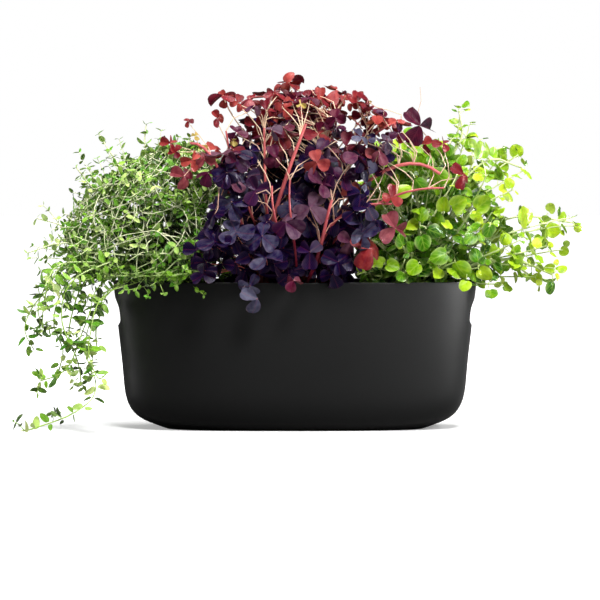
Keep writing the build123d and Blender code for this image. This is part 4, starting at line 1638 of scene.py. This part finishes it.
        blades = [
            Blade("sorrel_flat", spoon, 5, 4, fold=0.35, curl=0.05, notch=0.06, thickness=0.02),
            Blade("sorrel_folded", spoon, 5, 4, fold=0.9, curl=0.2, notch=0.07, thickness=0.02),
            Blade("sorrel_drooping", spoon, 5, 4, fold=-0.4, curl=0.4, notch=0.04, thickness=0.02),
            Blade("sorrel_cupped", spoon, 5, 4, fold=0.7, curl=-0.35, ripple=0.05, notch=0.05, thickness=0.02),
        ]
        plain = [
            Blade("sorrel_inner_a", spoon, 3, 2, fold=0.4, curl=0.1, thickness=0.03),
            Blade("sorrel_inner_b", spoon, 3, 2, fold=-0.3, curl=0.35, thickness=0.03),
        ]
        self.nodes, self.stems = [], Stems()
        for points, start, end in self.stems_px:
            route = [VIEW.place(*point) for point in points]
            route[0].z = SOIL_TOP
            self.stems.add(route, start * MM, end * MM)
            self.nodes += [(bezier(route, share), bezier_direction(route, share)) for share in self.node_shares]
        leaves, outer, inner, green = (Foliage(kinds, self.rng) for kinds in (blades, blades, plain, blades))
        for px, py, depth, size, tone, warmth in self.key_leaves_px:
            hub, facing = VIEW.place(px, py, depth), to_camera(self.rng, -0.1, 0.9)
            self.leaf(leaves, hub, facing, size * MM, tone, warmth, tidy=0.6)
            self.stalk(hub, facing)
        fillings = ((leaves, self.front_filling() + self.back_filling()), (outer, self.outer_filling()),
                    (inner, self.low_filling()))
        for gathered, places in fillings:
            for spot, size, tone, warmth in places:
                outward = (spot - Vector((0, 0, 0.22))).normalized()
                facing = jittered(self.rng, outward + UP * 0.4, 0.5)
                self.leaf(gathered, spot, facing, size, tone, warmth)
                self.stalk(spot, facing)
        for shares in self.rising:
            points = growth(0.0, shares)
            for route in smooth_pieces(points):
                self.stems.add(route, 0.0008, 0.0006, slot=1)
            facing = (points[-1] - points[-2]).normalized() + UP * 2.0
            self.leaf(leaves, points[-1], facing, 0.017, self.draw(0.3, 0.8), self.draw(0.5, 1.0), 0.4)
        for px, py, depth, size in self.young_px:
            hub = VIEW.place(px, py, depth)
            self.leaf(green, hub, FRONT + UP * 0.6, size * MM, 0.6, 0.6)
            self.stalk(hub, UP)
        self.stems.add([VIEW.place(*point) for point in self.tendril_px], 0.0004, 0.00025, slot=1)
        self.hang(leaves, "sorrel_leaves", leaf, "sorrel_leaf_stalks")
        self.hang(outer, "sorrel_outer_leaves", leaf, "sorrel_crown")
        self.hang(inner, "sorrel_inner_leaves", leaf)
        self.hang(green, "sorrel_young_leaves", young)
        self.hang(self.stems, "sorrel_stems", [fleshy, thin], "sorrel_arching_stems")


@dataclass
class Cress(Herb):
    """Watercress: juicy green stems with pairs of round leaves."""

    plant: Plant = Plant.CRESS
    slot: str = "cress_green"
    centre_x: float = POT_PITCH
    dome: Dome = Dome(
        POT_PITCH, left=0.056, right=0.105, front=0.070, back=0.090, up=0.130, lift=0.022, lowest=0.0,
        sizes=(0.5, 1.0),
    )
    stem_count: int = 110
    low_count: int = 56
    outer_leaves: int = 420
    pair_gap: float = 0.019
    # Shares of a stem that the stalks of the leaves that stand out can grow at.
    anchor_shares: tuple[float, ...] = (0.4, 0.55, 0.7, 0.85, 1.0)
    # Its left-hand and front limits, and where painted light begins to lighten its leaves towards the right.
    left_limit: float = 0.0600
    front_limit: float = -0.079
    light_from: float = 0.12
    painted_light_rise: float = 2.5
    rng: random.Random = field(default_factory=lambda: random.Random(5))
    # Tips of the outermost stems in the photograph, as pixels and depths.
    outer_tips_px: Triples = (
        (460, 113, 0.0), (470, 125, 0.02), (452, 139, -0.03), (480, 140, 0.0), (525, 170, -0.01), (570, 218, 0.0),
        (500, 158, 0.03), (518, 155, 0.03), (553, 268, -0.035), (562, 250, 0.03), (535, 277, -0.03), (574, 226, 0.0),
        (501, 284, -0.045), (520, 240, -0.05), (512, 190, -0.04), (540, 228, 0.03), (430, 168, -0.055),
        (410, 172, -0.06), (392, 196, -0.065), (478, 268, -0.065), (455, 262, -0.07), (430, 262, -0.068),
        (404, 262, -0.07), (384, 264, -0.068), (444, 210, -0.07), (470, 214, -0.07), (420, 226, -0.07),
        (490, 226, -0.06), (546, 246, -0.04), (526, 256, 0.02), (486, 176, -0.05), (458, 172, -0.06),
        (366, 262, -0.06), (372, 240, -0.06), (368, 220, -0.05), (380, 200, -0.05),
    )
    # Free sprigs, as on the solid model.
    sprigs: tuple[Triples, ...] = (
        ((0.45, 0.0, 0.45), (0.8, -0.05, 0.6), (1.12, -0.1, 0.56)),
        ((0.3, 0.1, 0.48), (0.65, 0.25, 0.62), (0.95, 0.3, 0.66)),
        ((0.6, 0.1, 0.2), (1.1, 0.05, 0.31), (1.65, 0.0, 0.28)),
        ((0.6, -0.2, 0.06), (1.0, -0.3, 0.1), (1.42, -0.35, 0.02)),
        ((0.3, 0.0, 0.55), (0.52, 0.0, 0.7), (0.5, 0.0, 0.85)),
        ((0.2, 0.4, 0.3), (0.3, 0.85, 0.48), (0.35, 1.05, 0.5)),
        ((0.5, 0.4, 0.15), (0.9, 0.75, 0.22), (1.2, 0.95, 0.2)),
        ((0.0, -0.2, 0.5), (-0.1, -0.4, 0.62), (-0.12, -0.45, 0.7)),
        ((0.6, 0.2, 0.05), (1.05, 0.35, 0.06), (1.35, 0.4, -0.03)),
    )
    # Round leaves that stand out: pixel, depth, length in millimetres, tone, warmth. Their tones hold painted light
    # and shade as well as each leaf's own colour.
    key_leaves_px: tuple[tuple[float, float, float, float, float, float], ...] = (
        (480, 151, -0.045, 20, 0.6, 0.6), (500, 155, 0.028, 15, 0.6, 0.9), (517, 151, 0.03, 15, 0.7, 1.0),
        (458, 203, -0.074, 19, 0.6, 0.9), (482, 204, -0.07, 19, 0.6, 0.8), (523, 217, -0.03, 24, 0.8, 1.0),
        (489, 230, -0.06, 16, 0.35, 0.2), (478, 256, -0.068, 15, 0.35, 0.2), (459, 270, -0.074, 20, 0.55, 0.8),
        (465, 286, -0.078, 14, 0.95, 0.2), (484, 273, -0.06, 17, 0.9, 0.5), (501, 286, -0.04, 13, 0.7, 1.0),
        (550, 268, -0.035, 12, 0.7, 1.0), (564, 251, 0.03, 11, 0.7, 0.9), (578, 228, 0.0, 10, 0.75, 1.0),
        (552, 231, 0.03, 17, 0.75, 1.0), (437, 175, -0.072, 18, 0.5, 0.6), (444, 205, -0.074, 17, 0.6, 1.0),
        (420, 215, -0.074, 15, 0.5, 0.6), (419, 184, -0.074, 15, 0.4, 0.2), (402, 190, -0.074, 16, 0.95, 0.1),
        (423, 243, -0.074, 19, 0.3, 0.2), (440, 256, -0.076, 20, 0.35, 0.6), (414, 268, -0.076, 17, 0.5, 0.9),
        (392, 266, -0.074, 15, 0.5, 1.0), (370, 264, -0.074, 14, 0.6, 1.0), (362, 268, -0.074, 12, 0.6, 1.0),
        (380, 262, -0.074, 12, 0.6, 1.0), (536, 279, -0.03, 13, 0.75, 1.0), (448, 148, -0.05, 12, 0.4, 0.3),
        (462, 160, -0.055, 13, 0.5, 0.6), (470, 238, -0.072, 16, 0.4, 0.4), (506, 240, -0.05, 13, 0.7, 0.9),
        (510, 184, -0.03, 12, 0.75, 1.0), (434, 232, -0.074, 16, 0.2, 0.2), (400, 240, -0.072, 15, 0.3, 0.3),
        (516, 262, -0.04, 16, 0.6, 0.6), (538, 240, 0.0, 13, 0.7, 0.8),
    )

    def holds(self, point: Vector) -> bool:
        """True if a point is on the cress's side of its neighbour and behind the sorrel's leaning stems."""
        return point.x > self.left_limit and point.y > self.front_limit

    def tips(self) -> list[Vector]:
        """Tips of all stems: those of the photograph, low ones near the rim, then more all round."""
        found = [VIEW.place(*point) for point in self.outer_tips_px]
        for number in range(self.low_count):
            far = 0.165 if number % 2 else 0.085
            low = Vector((self.draw(0.062, far), self.draw(-0.076, 0.075), self.draw(0.153, 0.18)))
            found.append(low)
        while len(found) < self.stem_count:
            found.append(self.dome.tip(self.rng))
        return found

    def build(self, leaf: Sequence[Material], stem: Material) -> None:
        """Builds the plant and hangs it on its pot.

        Args:
            leaf: Finishes of the leaf's two sides.
            stem: Finish of the stems.
        """
        def disc(share: float) -> float:
            """Half width of a round leaf, broader near its stalk."""
            return 0.57 - 0.14 * share

        blades = [
            Blade("cress_cupped", disc, 5, 4, fold=0.5, curl=0.1, cleft=0.14, thickness=0.025),
            Blade("cress_flat", disc, 5, 4, fold=0.12, curl=0.2, ripple=0.08, cleft=0.18, thickness=0.025),
            Blade("cress_drooping", disc, 5, 4, fold=-0.35, curl=0.5, cleft=0.1, thickness=0.025),
            Blade("cress_twisted", disc, 5, 4, fold=0.3, curl=-0.25, twist=0.8, ripple=0.09, cleft=0.12,
                  thickness=0.025),
        ]
        self.leaves, self.stems = Foliage(blades, self.rng), Stems()
        anchors = []
        for tip in self.tips():
            base = root(self.rng, self.centre_x)
            rise, sag = self.draw(0.02, 0.16), self.draw(0.0, 0.08)
            route = wiry(self.rng, base, tip, rise, sag, 0.03)
            anchors += [bezier(route, share) for share in self.anchor_shares]
            self.stems.add(route, 0.0013, 0.0007)
            self.leaf_pairs(route)
        for shares in self.sprigs:
            for route in smooth_pieces(growth(self.centre_x, shares)):
                self.stems.add(route, 0.0012, 0.0011)
                self.leaf_pairs(route, start=0.0, shrink=0.2)
        for _ in range(self.outer_leaves):
            self.outer_leaf()
        for px, py, depth, size, tone, warmth in self.key_leaves_px:
            centre = VIEW.place(px, py, depth)
            anchor = min(anchors, key=lambda point: (point - centre).length)
            side = centre - anchor
            side.y *= 0.3
            side = side.normalized() if side.length > TINY else UP
            facing = to_camera(self.rng, -0.3, 0.8)
            foot = centre - side * size * MM * 0.5
            self.stems.add([anchor, anchor.lerp(foot, 0.5) + UP * 0.003, foot], 0.0006, 0.0004)
            self.leaves.add(foot, side, facing, size * MM, tone, warmth, widths=(0.85, 1.05))
        self.hang(self.leaves, "cress_leaves", leaf, "cress_crown")
        self.hang(self.stems, "cress_stems", [stem], "cress_sprigs")

    def outer_leaf(self) -> None:
        """A round leaf on the outside of the mass, on a stalk from inside."""
        share = self.rng.random() if self.rng.random() < 0.65 else self.draw(0.6, 1.0)
        turn = any_turn(self.rng)
        outward = CRESS_CROWN.outward(share, turn)
        spot = CRESS_CROWN.point(share, turn, self.draw(0.75, 1.0))
        side = jittered(self.rng, outward * 0.2 + UP * self.draw(-0.6, 0.6), 0.8).normalized()
        size = self.draw(0.010, 0.019)
        if not (self.holds(spot) and self.holds(spot + side * size)):
            return
        facing = jittered(self.rng, outward + UP * self.draw(0.0, 0.8), 0.9)
        inside = spot - outward * 0.02 - UP * 0.012
        self.stems.add([inside, inside.lerp(spot, 0.6) - UP * 0.003, spot], 0.0008, 0.0005)
        # Painted light: lighter towards the right.
        tone = clamped(self.rng.gauss(0.42, 0.3) + (spot.x - self.light_from) * self.painted_light_rise)
        self.leaves.add(spot, side, facing, size, tone, self.rng.random(), widths=(0.8, 1.05))

    def leaf_pairs(self, route: Route, start: float = 0.2, shrink: float = 0.5) -> None:
        """Crossed pairs of round leaves on short stalks along a stem, small at its tip.

        Args:
            route: Control points of the stem.
            start: Share of the stem that is bare.
            shrink: How much smaller the leaves at the tip are, as a share.
        """
        count = max(1, int(bezier_length(route) * (1 - start) / self.pair_gap))
        quarter = self.draw(0, math.pi)
        for step in range(count + 1):
            share = start + (1 - start) * step / count
            spot, along = bezier(route, share), bezier_direction(route, share)
            outer = clamped((spot - Vector((self.centre_x, 0, 0.17))).length / 0.11)
            for half in (0, math.pi):
                side = any_side(along, quarter + half + self.draw(-0.5, 0.5)) + along * 0.5
                if not self.holds(spot + side.normalized() * 0.022):
                    continue
                size = self.draw(0.010, 0.018) * (1.0 - shrink * max(0.0, share - 0.75) / 0.25)
                facing = along * 0.4 + UP * 0.6 + FRONT * self.draw(-0.1, 0.7)
                facing += side * self.draw(-0.3, 0.5)
                # Painted light: lighter towards the right, and the outer leaves lighter than the inner ones.
                right = (spot.x - self.light_from) * self.painted_light_rise
                tone = clamped(0.45 * outer + right + self.rng.gauss(0.05, 0.27))
                warmth = self.rng.random() * outer
                foot = spot + side.normalized() * size * self.draw(0.3, 0.6)
                self.stems.add([spot, spot.lerp(foot, 0.5) + UP * size * 0.06, foot], 0.0005, 0.0004)
                self.leaves.add(foot, side, facing, size, tone, warmth, widths=(0.75, 1.05))
            quarter += math.pi / 2


def dress(piece: bpy.types.Object, plant: Plant, slot: str, *nodes: str) -> None:
    """Hangs a piece on its pot.

    Args:
        piece: The finished object.
        plant: The plant that it belongs to.
        slot: The record's slot for its finish; not used.
        nodes: Solids that it stands for.
    """
    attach(piece, plant.value)
    if nodes:
        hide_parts(*nodes)
    piece.data.calc_loop_triangles()
    LOG.info("%s: %d triangles", piece.name, len(piece.data.loop_triangles))


@dataclass
class Soil:
    """The crumbly surface and root ball that fills a grow pot."""

    node: str
    plant: Plant
    seed: float
    rings: int = 12
    spokes: int = 40
    crumb: float = 0.0022
    crumb_scale: float = 220.0
    base_radius: float = 0.0392
    wall_gap: float = 0.0006
    rim_drop: float = 0.003
    top_band: float = 0.0045
    slump: float = 0.0026
    sunk: float = 0.0018
    highest: float = 0.0003

    def build(self, material: Material) -> None:
        """Builds the soil inside the solid's own box.

        Args:
            material: Its finish.
        """
        low, high = (Vector(corner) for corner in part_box(self.node))
        centre = (low + high) / 2
        top_radius = (high.x - low.x) / 2 - self.wall_gap
        bm = bmesh.new()
        bmesh.ops.create_circle(bm, cap_ends=True, segments=self.spokes, radius=self.base_radius,
                                matrix=Matrix.Translation((centre.x, centre.y, low.z)))
        wall = bmesh.ops.extrude_edge_only(bm, edges=bm.edges[:])
        rim = [item for item in wall["geom"] if isinstance(item, bmesh.types.BMVert)]
        for vert in rim:
            flat = Vector((vert.co.x - centre.x, vert.co.y - centre.y, 0.0)).normalized()
            vert.co = Vector((centre.x, centre.y, high.z - self.rim_drop)) + flat * top_radius
        edges = [item for item in wall["geom"] if isinstance(item, bmesh.types.BMEdge) and item.is_boundary]
        cap = bmesh.ops.contextual_create(bm, geom=edges)["faces"]
        for _ in range(self.rings):
            bmesh.ops.inset_region(bm, faces=cap, thickness=top_radius / (self.rings + 1), use_even_offset=True)
        bmesh.ops.poke(bm, faces=cap)
        for vert in bm.verts:
            if vert.co.z > high.z - self.top_band:
                away = Vector((vert.co.x - centre.x, vert.co.y - centre.y, 0.0)).length / top_radius
                bumps = noise.fractal(vert.co * self.crumb_scale + Vector((self.seed,) * 3), 0.9, 2.0, 4)
                vert.co.z = high.z - self.slump * away**6 - self.sunk + self.crumb * bumps * (1 - away**8)
                vert.co.z = min(vert.co.z, high.z + self.highest)
        bmesh.ops.recalc_face_normals(bm, faces=bm.faces)
        mesh = mesh_of(bm, self.node + "_crumbs")
        mesh.materials.append(material)
        mesh.shade_smooth()
        dress(linked(self.node + "_crumbs", mesh), self.plant, "soil", self.node)


@dataclass
class Wick:
    """A strip of thick felt that drops from the soil to the tub's floor and lies on it."""

    node: str
    plant: Plant
    steps: int = 28
    across: int = 6
    thickness: float = 0.003
    bend: float = 0.005
    ripple: float = 0.0001
    side_gap: float = 0.0004
    face_gap: float = 0.0003
    sharp_angle: float = 50.0

    def build(self, material: Material) -> None:
        """Builds the strip along the solid's own route, with a slightly wavy face.

        Args:
            material: Its finish.
        """
        low, high = (Vector(corner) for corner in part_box(self.node))
        toe = -1 if self.plant is Plant.CRESS else 1
        half = self.thickness / 2
        root_x = (low.x if toe > 0 else high.x) + toe * half
        drop = high.z - low.z - half - self.bend
        foot = high.x - low.x - half - self.bend
        arc = self.bend * math.pi / 2
        width = high.y - low.y - self.side_gap
        bm = bmesh.new()
        bmesh.ops.create_grid(bm, x_segments=self.steps, y_segments=self.across, size=0.5)
        for vert in bm.verts:
            run, side = (vert.co.x + 0.5) * (drop + arc + foot), vert.co.y * width
            if run < drop:
                vert.co = Vector((root_x + self.ripple * math.sin(run * 260 + side * 90), side, high.z - run))
            elif run < drop + arc:
                turn = (run - drop) / self.bend
                out, down = toe * self.bend * (1 - math.cos(turn)), self.bend * math.sin(turn)
                vert.co = Vector((root_x + out, side, high.z - drop - down))
            else:
                vert.co = Vector((root_x + toe * (self.bend + run - drop - arc), side, low.z + half))
        bmesh.ops.recalc_face_normals(bm, faces=bm.faces)
        bmesh.ops.solidify(bm, geom=bm.faces[:], thickness=self.thickness - self.face_gap)
        middle = sum((vert.co for vert in bm.verts), Vector()) / len(bm.verts)
        heights = [vert.co.z for vert in bm.verts]
        shift = (low.z + high.z) / 2 - (min(heights) + max(heights)) / 2
        bmesh.ops.translate(bm, verts=bm.verts, vec=(0.0, -middle.y, shift))
        bmesh.ops.recalc_face_normals(bm, faces=bm.faces)
        mesh = mesh_of(bm, self.node + "_felt")
        mesh.materials.append(material)
        mesh.shade_smooth()
        mesh.set_sharp_from_angle(angle=math.radians(self.sharp_angle))
        dress(linked(self.node + "_felt", mesh), self.plant, "felt", self.node)


@dataclass
class Shell:
    """The plastic pieces, which keep the solid model's shapes."""

    tub: str = "outer_tub"
    inner: tuple[str, ...] = ("lift_out_deck", "thyme_grow_pot", "sorrel_grow_pot", "cress_grow_pot")

    def build(self, black: Material, grey: Material) -> None:
        """Gives the plastic pieces their finishes.

        Args:
            black: For the tub.
            grey: For the rest.
        """
        for node in (self.tub, *self.inner):
            piece = bpy.data.objects[node]
            for place in piece.material_slots:
                place.material = black if node == self.tub else grey
            LOG.info("%s: %d triangles", node, len(piece.data.polygons))


@dataclass
class Studio:
    """A white floor under a white world, soft lamps and the camera."""

    floor_size: float = 20.0
    shadow_reach: tuple[float, float] = (0.3, 0.8)
    near_glow: float = 0.3
    bounce: Colour = (0.35, 0.35, 0.35)
    papers: tuple[Colour, Colour] = ((0.90, 0.90, 0.90), (0.93, 0.93, 0.93))
    # Grey of the floor in glossy rays, a painted reflection, and where it turns from dark to light.
    painted_reflection: tuple[Colour, Colour] = ((0.1, 0.1, 0.1), (0.3, 0.3, 0.3))
    painted_reflection_reach: tuple[float, float] = (-0.08, 0.26)
    white: tuple[float, float, float, float] = (1.0, 1.0, 1.0, 1.0)
    # The world's share in the light and in the gloss, what every ray gets, and where its bright card is.
    world_light: float = 0.17
    world_gloss: float = 0.4
    world_least: float = 0.06
    world_card: tuple[float, float] = (0.35, 0.85)

    def build(self) -> None:
        """Builds floor, lamps, world and camera."""
        self.floor()
        self.lamps()
        self.world()
        self.camera()

    def floor(self) -> None:
        """A white floor, so wide that its far edge meets the white behind it, with a painted reflection in its gloss
        from darker on the left to lighter on the right.
        """
        bm = bmesh.new()
        bmesh.ops.create_grid(bm, x_segments=1, y_segments=1, size=self.floor_size)
        mesh = mesh_of(bm, "white_floor")
        material, board, shader = new_material("studio_paper")
        place = board.add("ShaderNodeTexCoord").outputs["Object"]
        rays = board.add("ShaderNodeLightPath").outputs
        paper = board.mix(board.noise(place, 3.0), *self.papers)
        seen = board.mix(rays["Is Camera Ray"], self.bounce, paper)
        # Painted reflection: in glossy rays the floor is grey, darker on the left and lighter on the right.
        painted_reflection = board.mix(board.between(board.axis(place, 0), *self.painted_reflection_reach), *self.painted_reflection)
        away = board.add("ShaderNodeVectorMath", {0: place}, operation="LENGTH").outputs["Value"]
        fade = board.between(away, *self.shadow_reach, self.near_glow)
        board.feed(shader, {
            "Base Color": board.mix(rays["Is Glossy Ray"], seen, painted_reflection),
            "Roughness": 0.9,
            "Specular IOR Level": 0.1,
            "Emission Color": self.white,
            "Emission Strength": board.sum("MULTIPLY", rays["Is Camera Ray"], fade),
        })
        mesh.materials.append(material)
        piece = linked("white_floor", mesh)

    @staticmethod
    def lamp(name: str, place: Colour, aim: Colour, width: float, height: float, power: float,
             spread: float = math.pi, shine_only: bool = False) -> None:
        """A soft lamp with a rectangular face.

        Args:
            name: The lamp's name.
            place: Where it hangs.
            aim: The point that it looks at.
            width: How wide its face is.
            height: How high its face is.
            power: Its power in watts.
            spread: The angle that its light is kept within.
            shine_only: True for a card that only shows as a sheen on gloss.
        """
        data = bpy.data.lights.new(name, "AREA")
        data.spread = spread
        data.shape = "RECTANGLE"
        data.size, data.size_y = width, height
        data.energy = power
        lamp = linked(name, data)
        lamp.visible_diffuse = not shine_only
        lamp.location = place
        lamp.rotation_euler = (Vector(aim) - Vector(place)).to_track_quat("-Z", "Y").to_euler()

    def lamps(self) -> None:
        """A large key lamp in front, weaker ones on both sides, one overhead and a card that the gloss shows."""
        aim = (0.0, 0.0, 0.18)
        self.lamp("key_front", (0.4, -1.7, 2.1), aim, 0.6, 0.6, 59.0)
        self.lamp("fill_right", (1.5, -1.0, 1.2), aim, 0.6, 0.6, 18.0)
        self.lamp("side_right", (1.15, -0.27, 0.42), (0.15, -0.02, 0.31), 0.3, 0.3, 1.2, math.radians(22), True)
        self.lamp("side_left", (-1.80, 0.25, 0.35), aim, 0.6, 0.9, 11.0)
        self.lamp("overhead", (0.0, 0.4, 2.2), aim, 0.9, 0.9, 42.0)

    def world(self) -> None:
        """A plain white world, a little weaker where it only lights."""
        world = bpy.data.worlds.new("studio_white")
        bpy.context.scene.world = world
        world.use_nodes = True
        board = Board(world.node_tree)
        rays = board.add("ShaderNodeLightPath").outputs
        seen = board.sum("MAXIMUM", rays["Is Camera Ray"], rays["Is Transmission Ray"])
        lit = board.sum("MULTIPLY", rays["Is Diffuse Ray"], self.world_light)
        place = board.add("ShaderNodeTexCoord").outputs["Generated"]
        card = board.between(board.axis(place, 0), *self.world_card)
        shown = board.sum("MULTIPLY", board.sum("MULTIPLY", rays["Is Glossy Ray"], card), self.world_gloss)
        most = board.sum("MAXIMUM", seen, board.sum("MAXIMUM", lit, shown))
        strength = board.sum("ADD", most, self.world_least, clamp=True)
        board.feed(world.node_tree.nodes["Background"], {"Color": self.white, "Strength": strength})

    @staticmethod
    def camera() -> None:
        """The camera of the photograph."""
        data = bpy.data.cameras.new("photo_camera")
        data.sensor_width = VIEW.sensor_mm
        data.lens = VIEW.focal_px * VIEW.sensor_mm / VIEW.frame_px
        data.clip_end = 50.0
        camera = linked("photo_camera", data)
        camera.location = VIEW.eye()
        camera.rotation_euler = VIEW.axes()[2].to_track_quat("-Z", "Y").to_euler()
        bpy.context.scene.camera = camera


def main() -> None:
    """Builds every piece in order."""
    logging.basicConfig(level=logging.INFO, format="%(name)s %(message)s")
    bpy.context.scene.view_settings.view_transform = "Standard"
    grain, veins = grain_group(), vein_group()
    Shell().build(TUB_PLASTIC.material(grain), INNER_PLASTIC.material(grain))
    soil, felt = SOIL.material(grain), FELT.material(grain)
    for number, plant in enumerate(Plant):
        herb = plant.value.removesuffix("_pot")
        Soil(herb + "_soil", plant, seed=number * 7.3).build(soil)
        Wick(herb + "_wick", plant).build(felt)
    thyme = [finish.material(grain, veins) for finish in (THYME_LEAF, THYME_UNDERSIDE)]
    sorrel = [finish.material(grain, veins) for finish in (SORREL_LEAF, SORREL_UNDERSIDE)]
    young = [YOUNG_LEAF.material(grain, veins)] * 2
    cress = [finish.material(grain, veins) for finish in (CRESS_LEAF, CRESS_UNDERSIDE)]
    Thyme().build(thyme, THYME_STEM.material(grain))
    Sorrel().build(sorrel, young, SORREL_STEM.material(grain), SORREL_STALK.material(grain))
    Cress().build(cress, CRESS_STEM.material(grain))
    Studio().build()


if __name__ == "__main__":
    main()
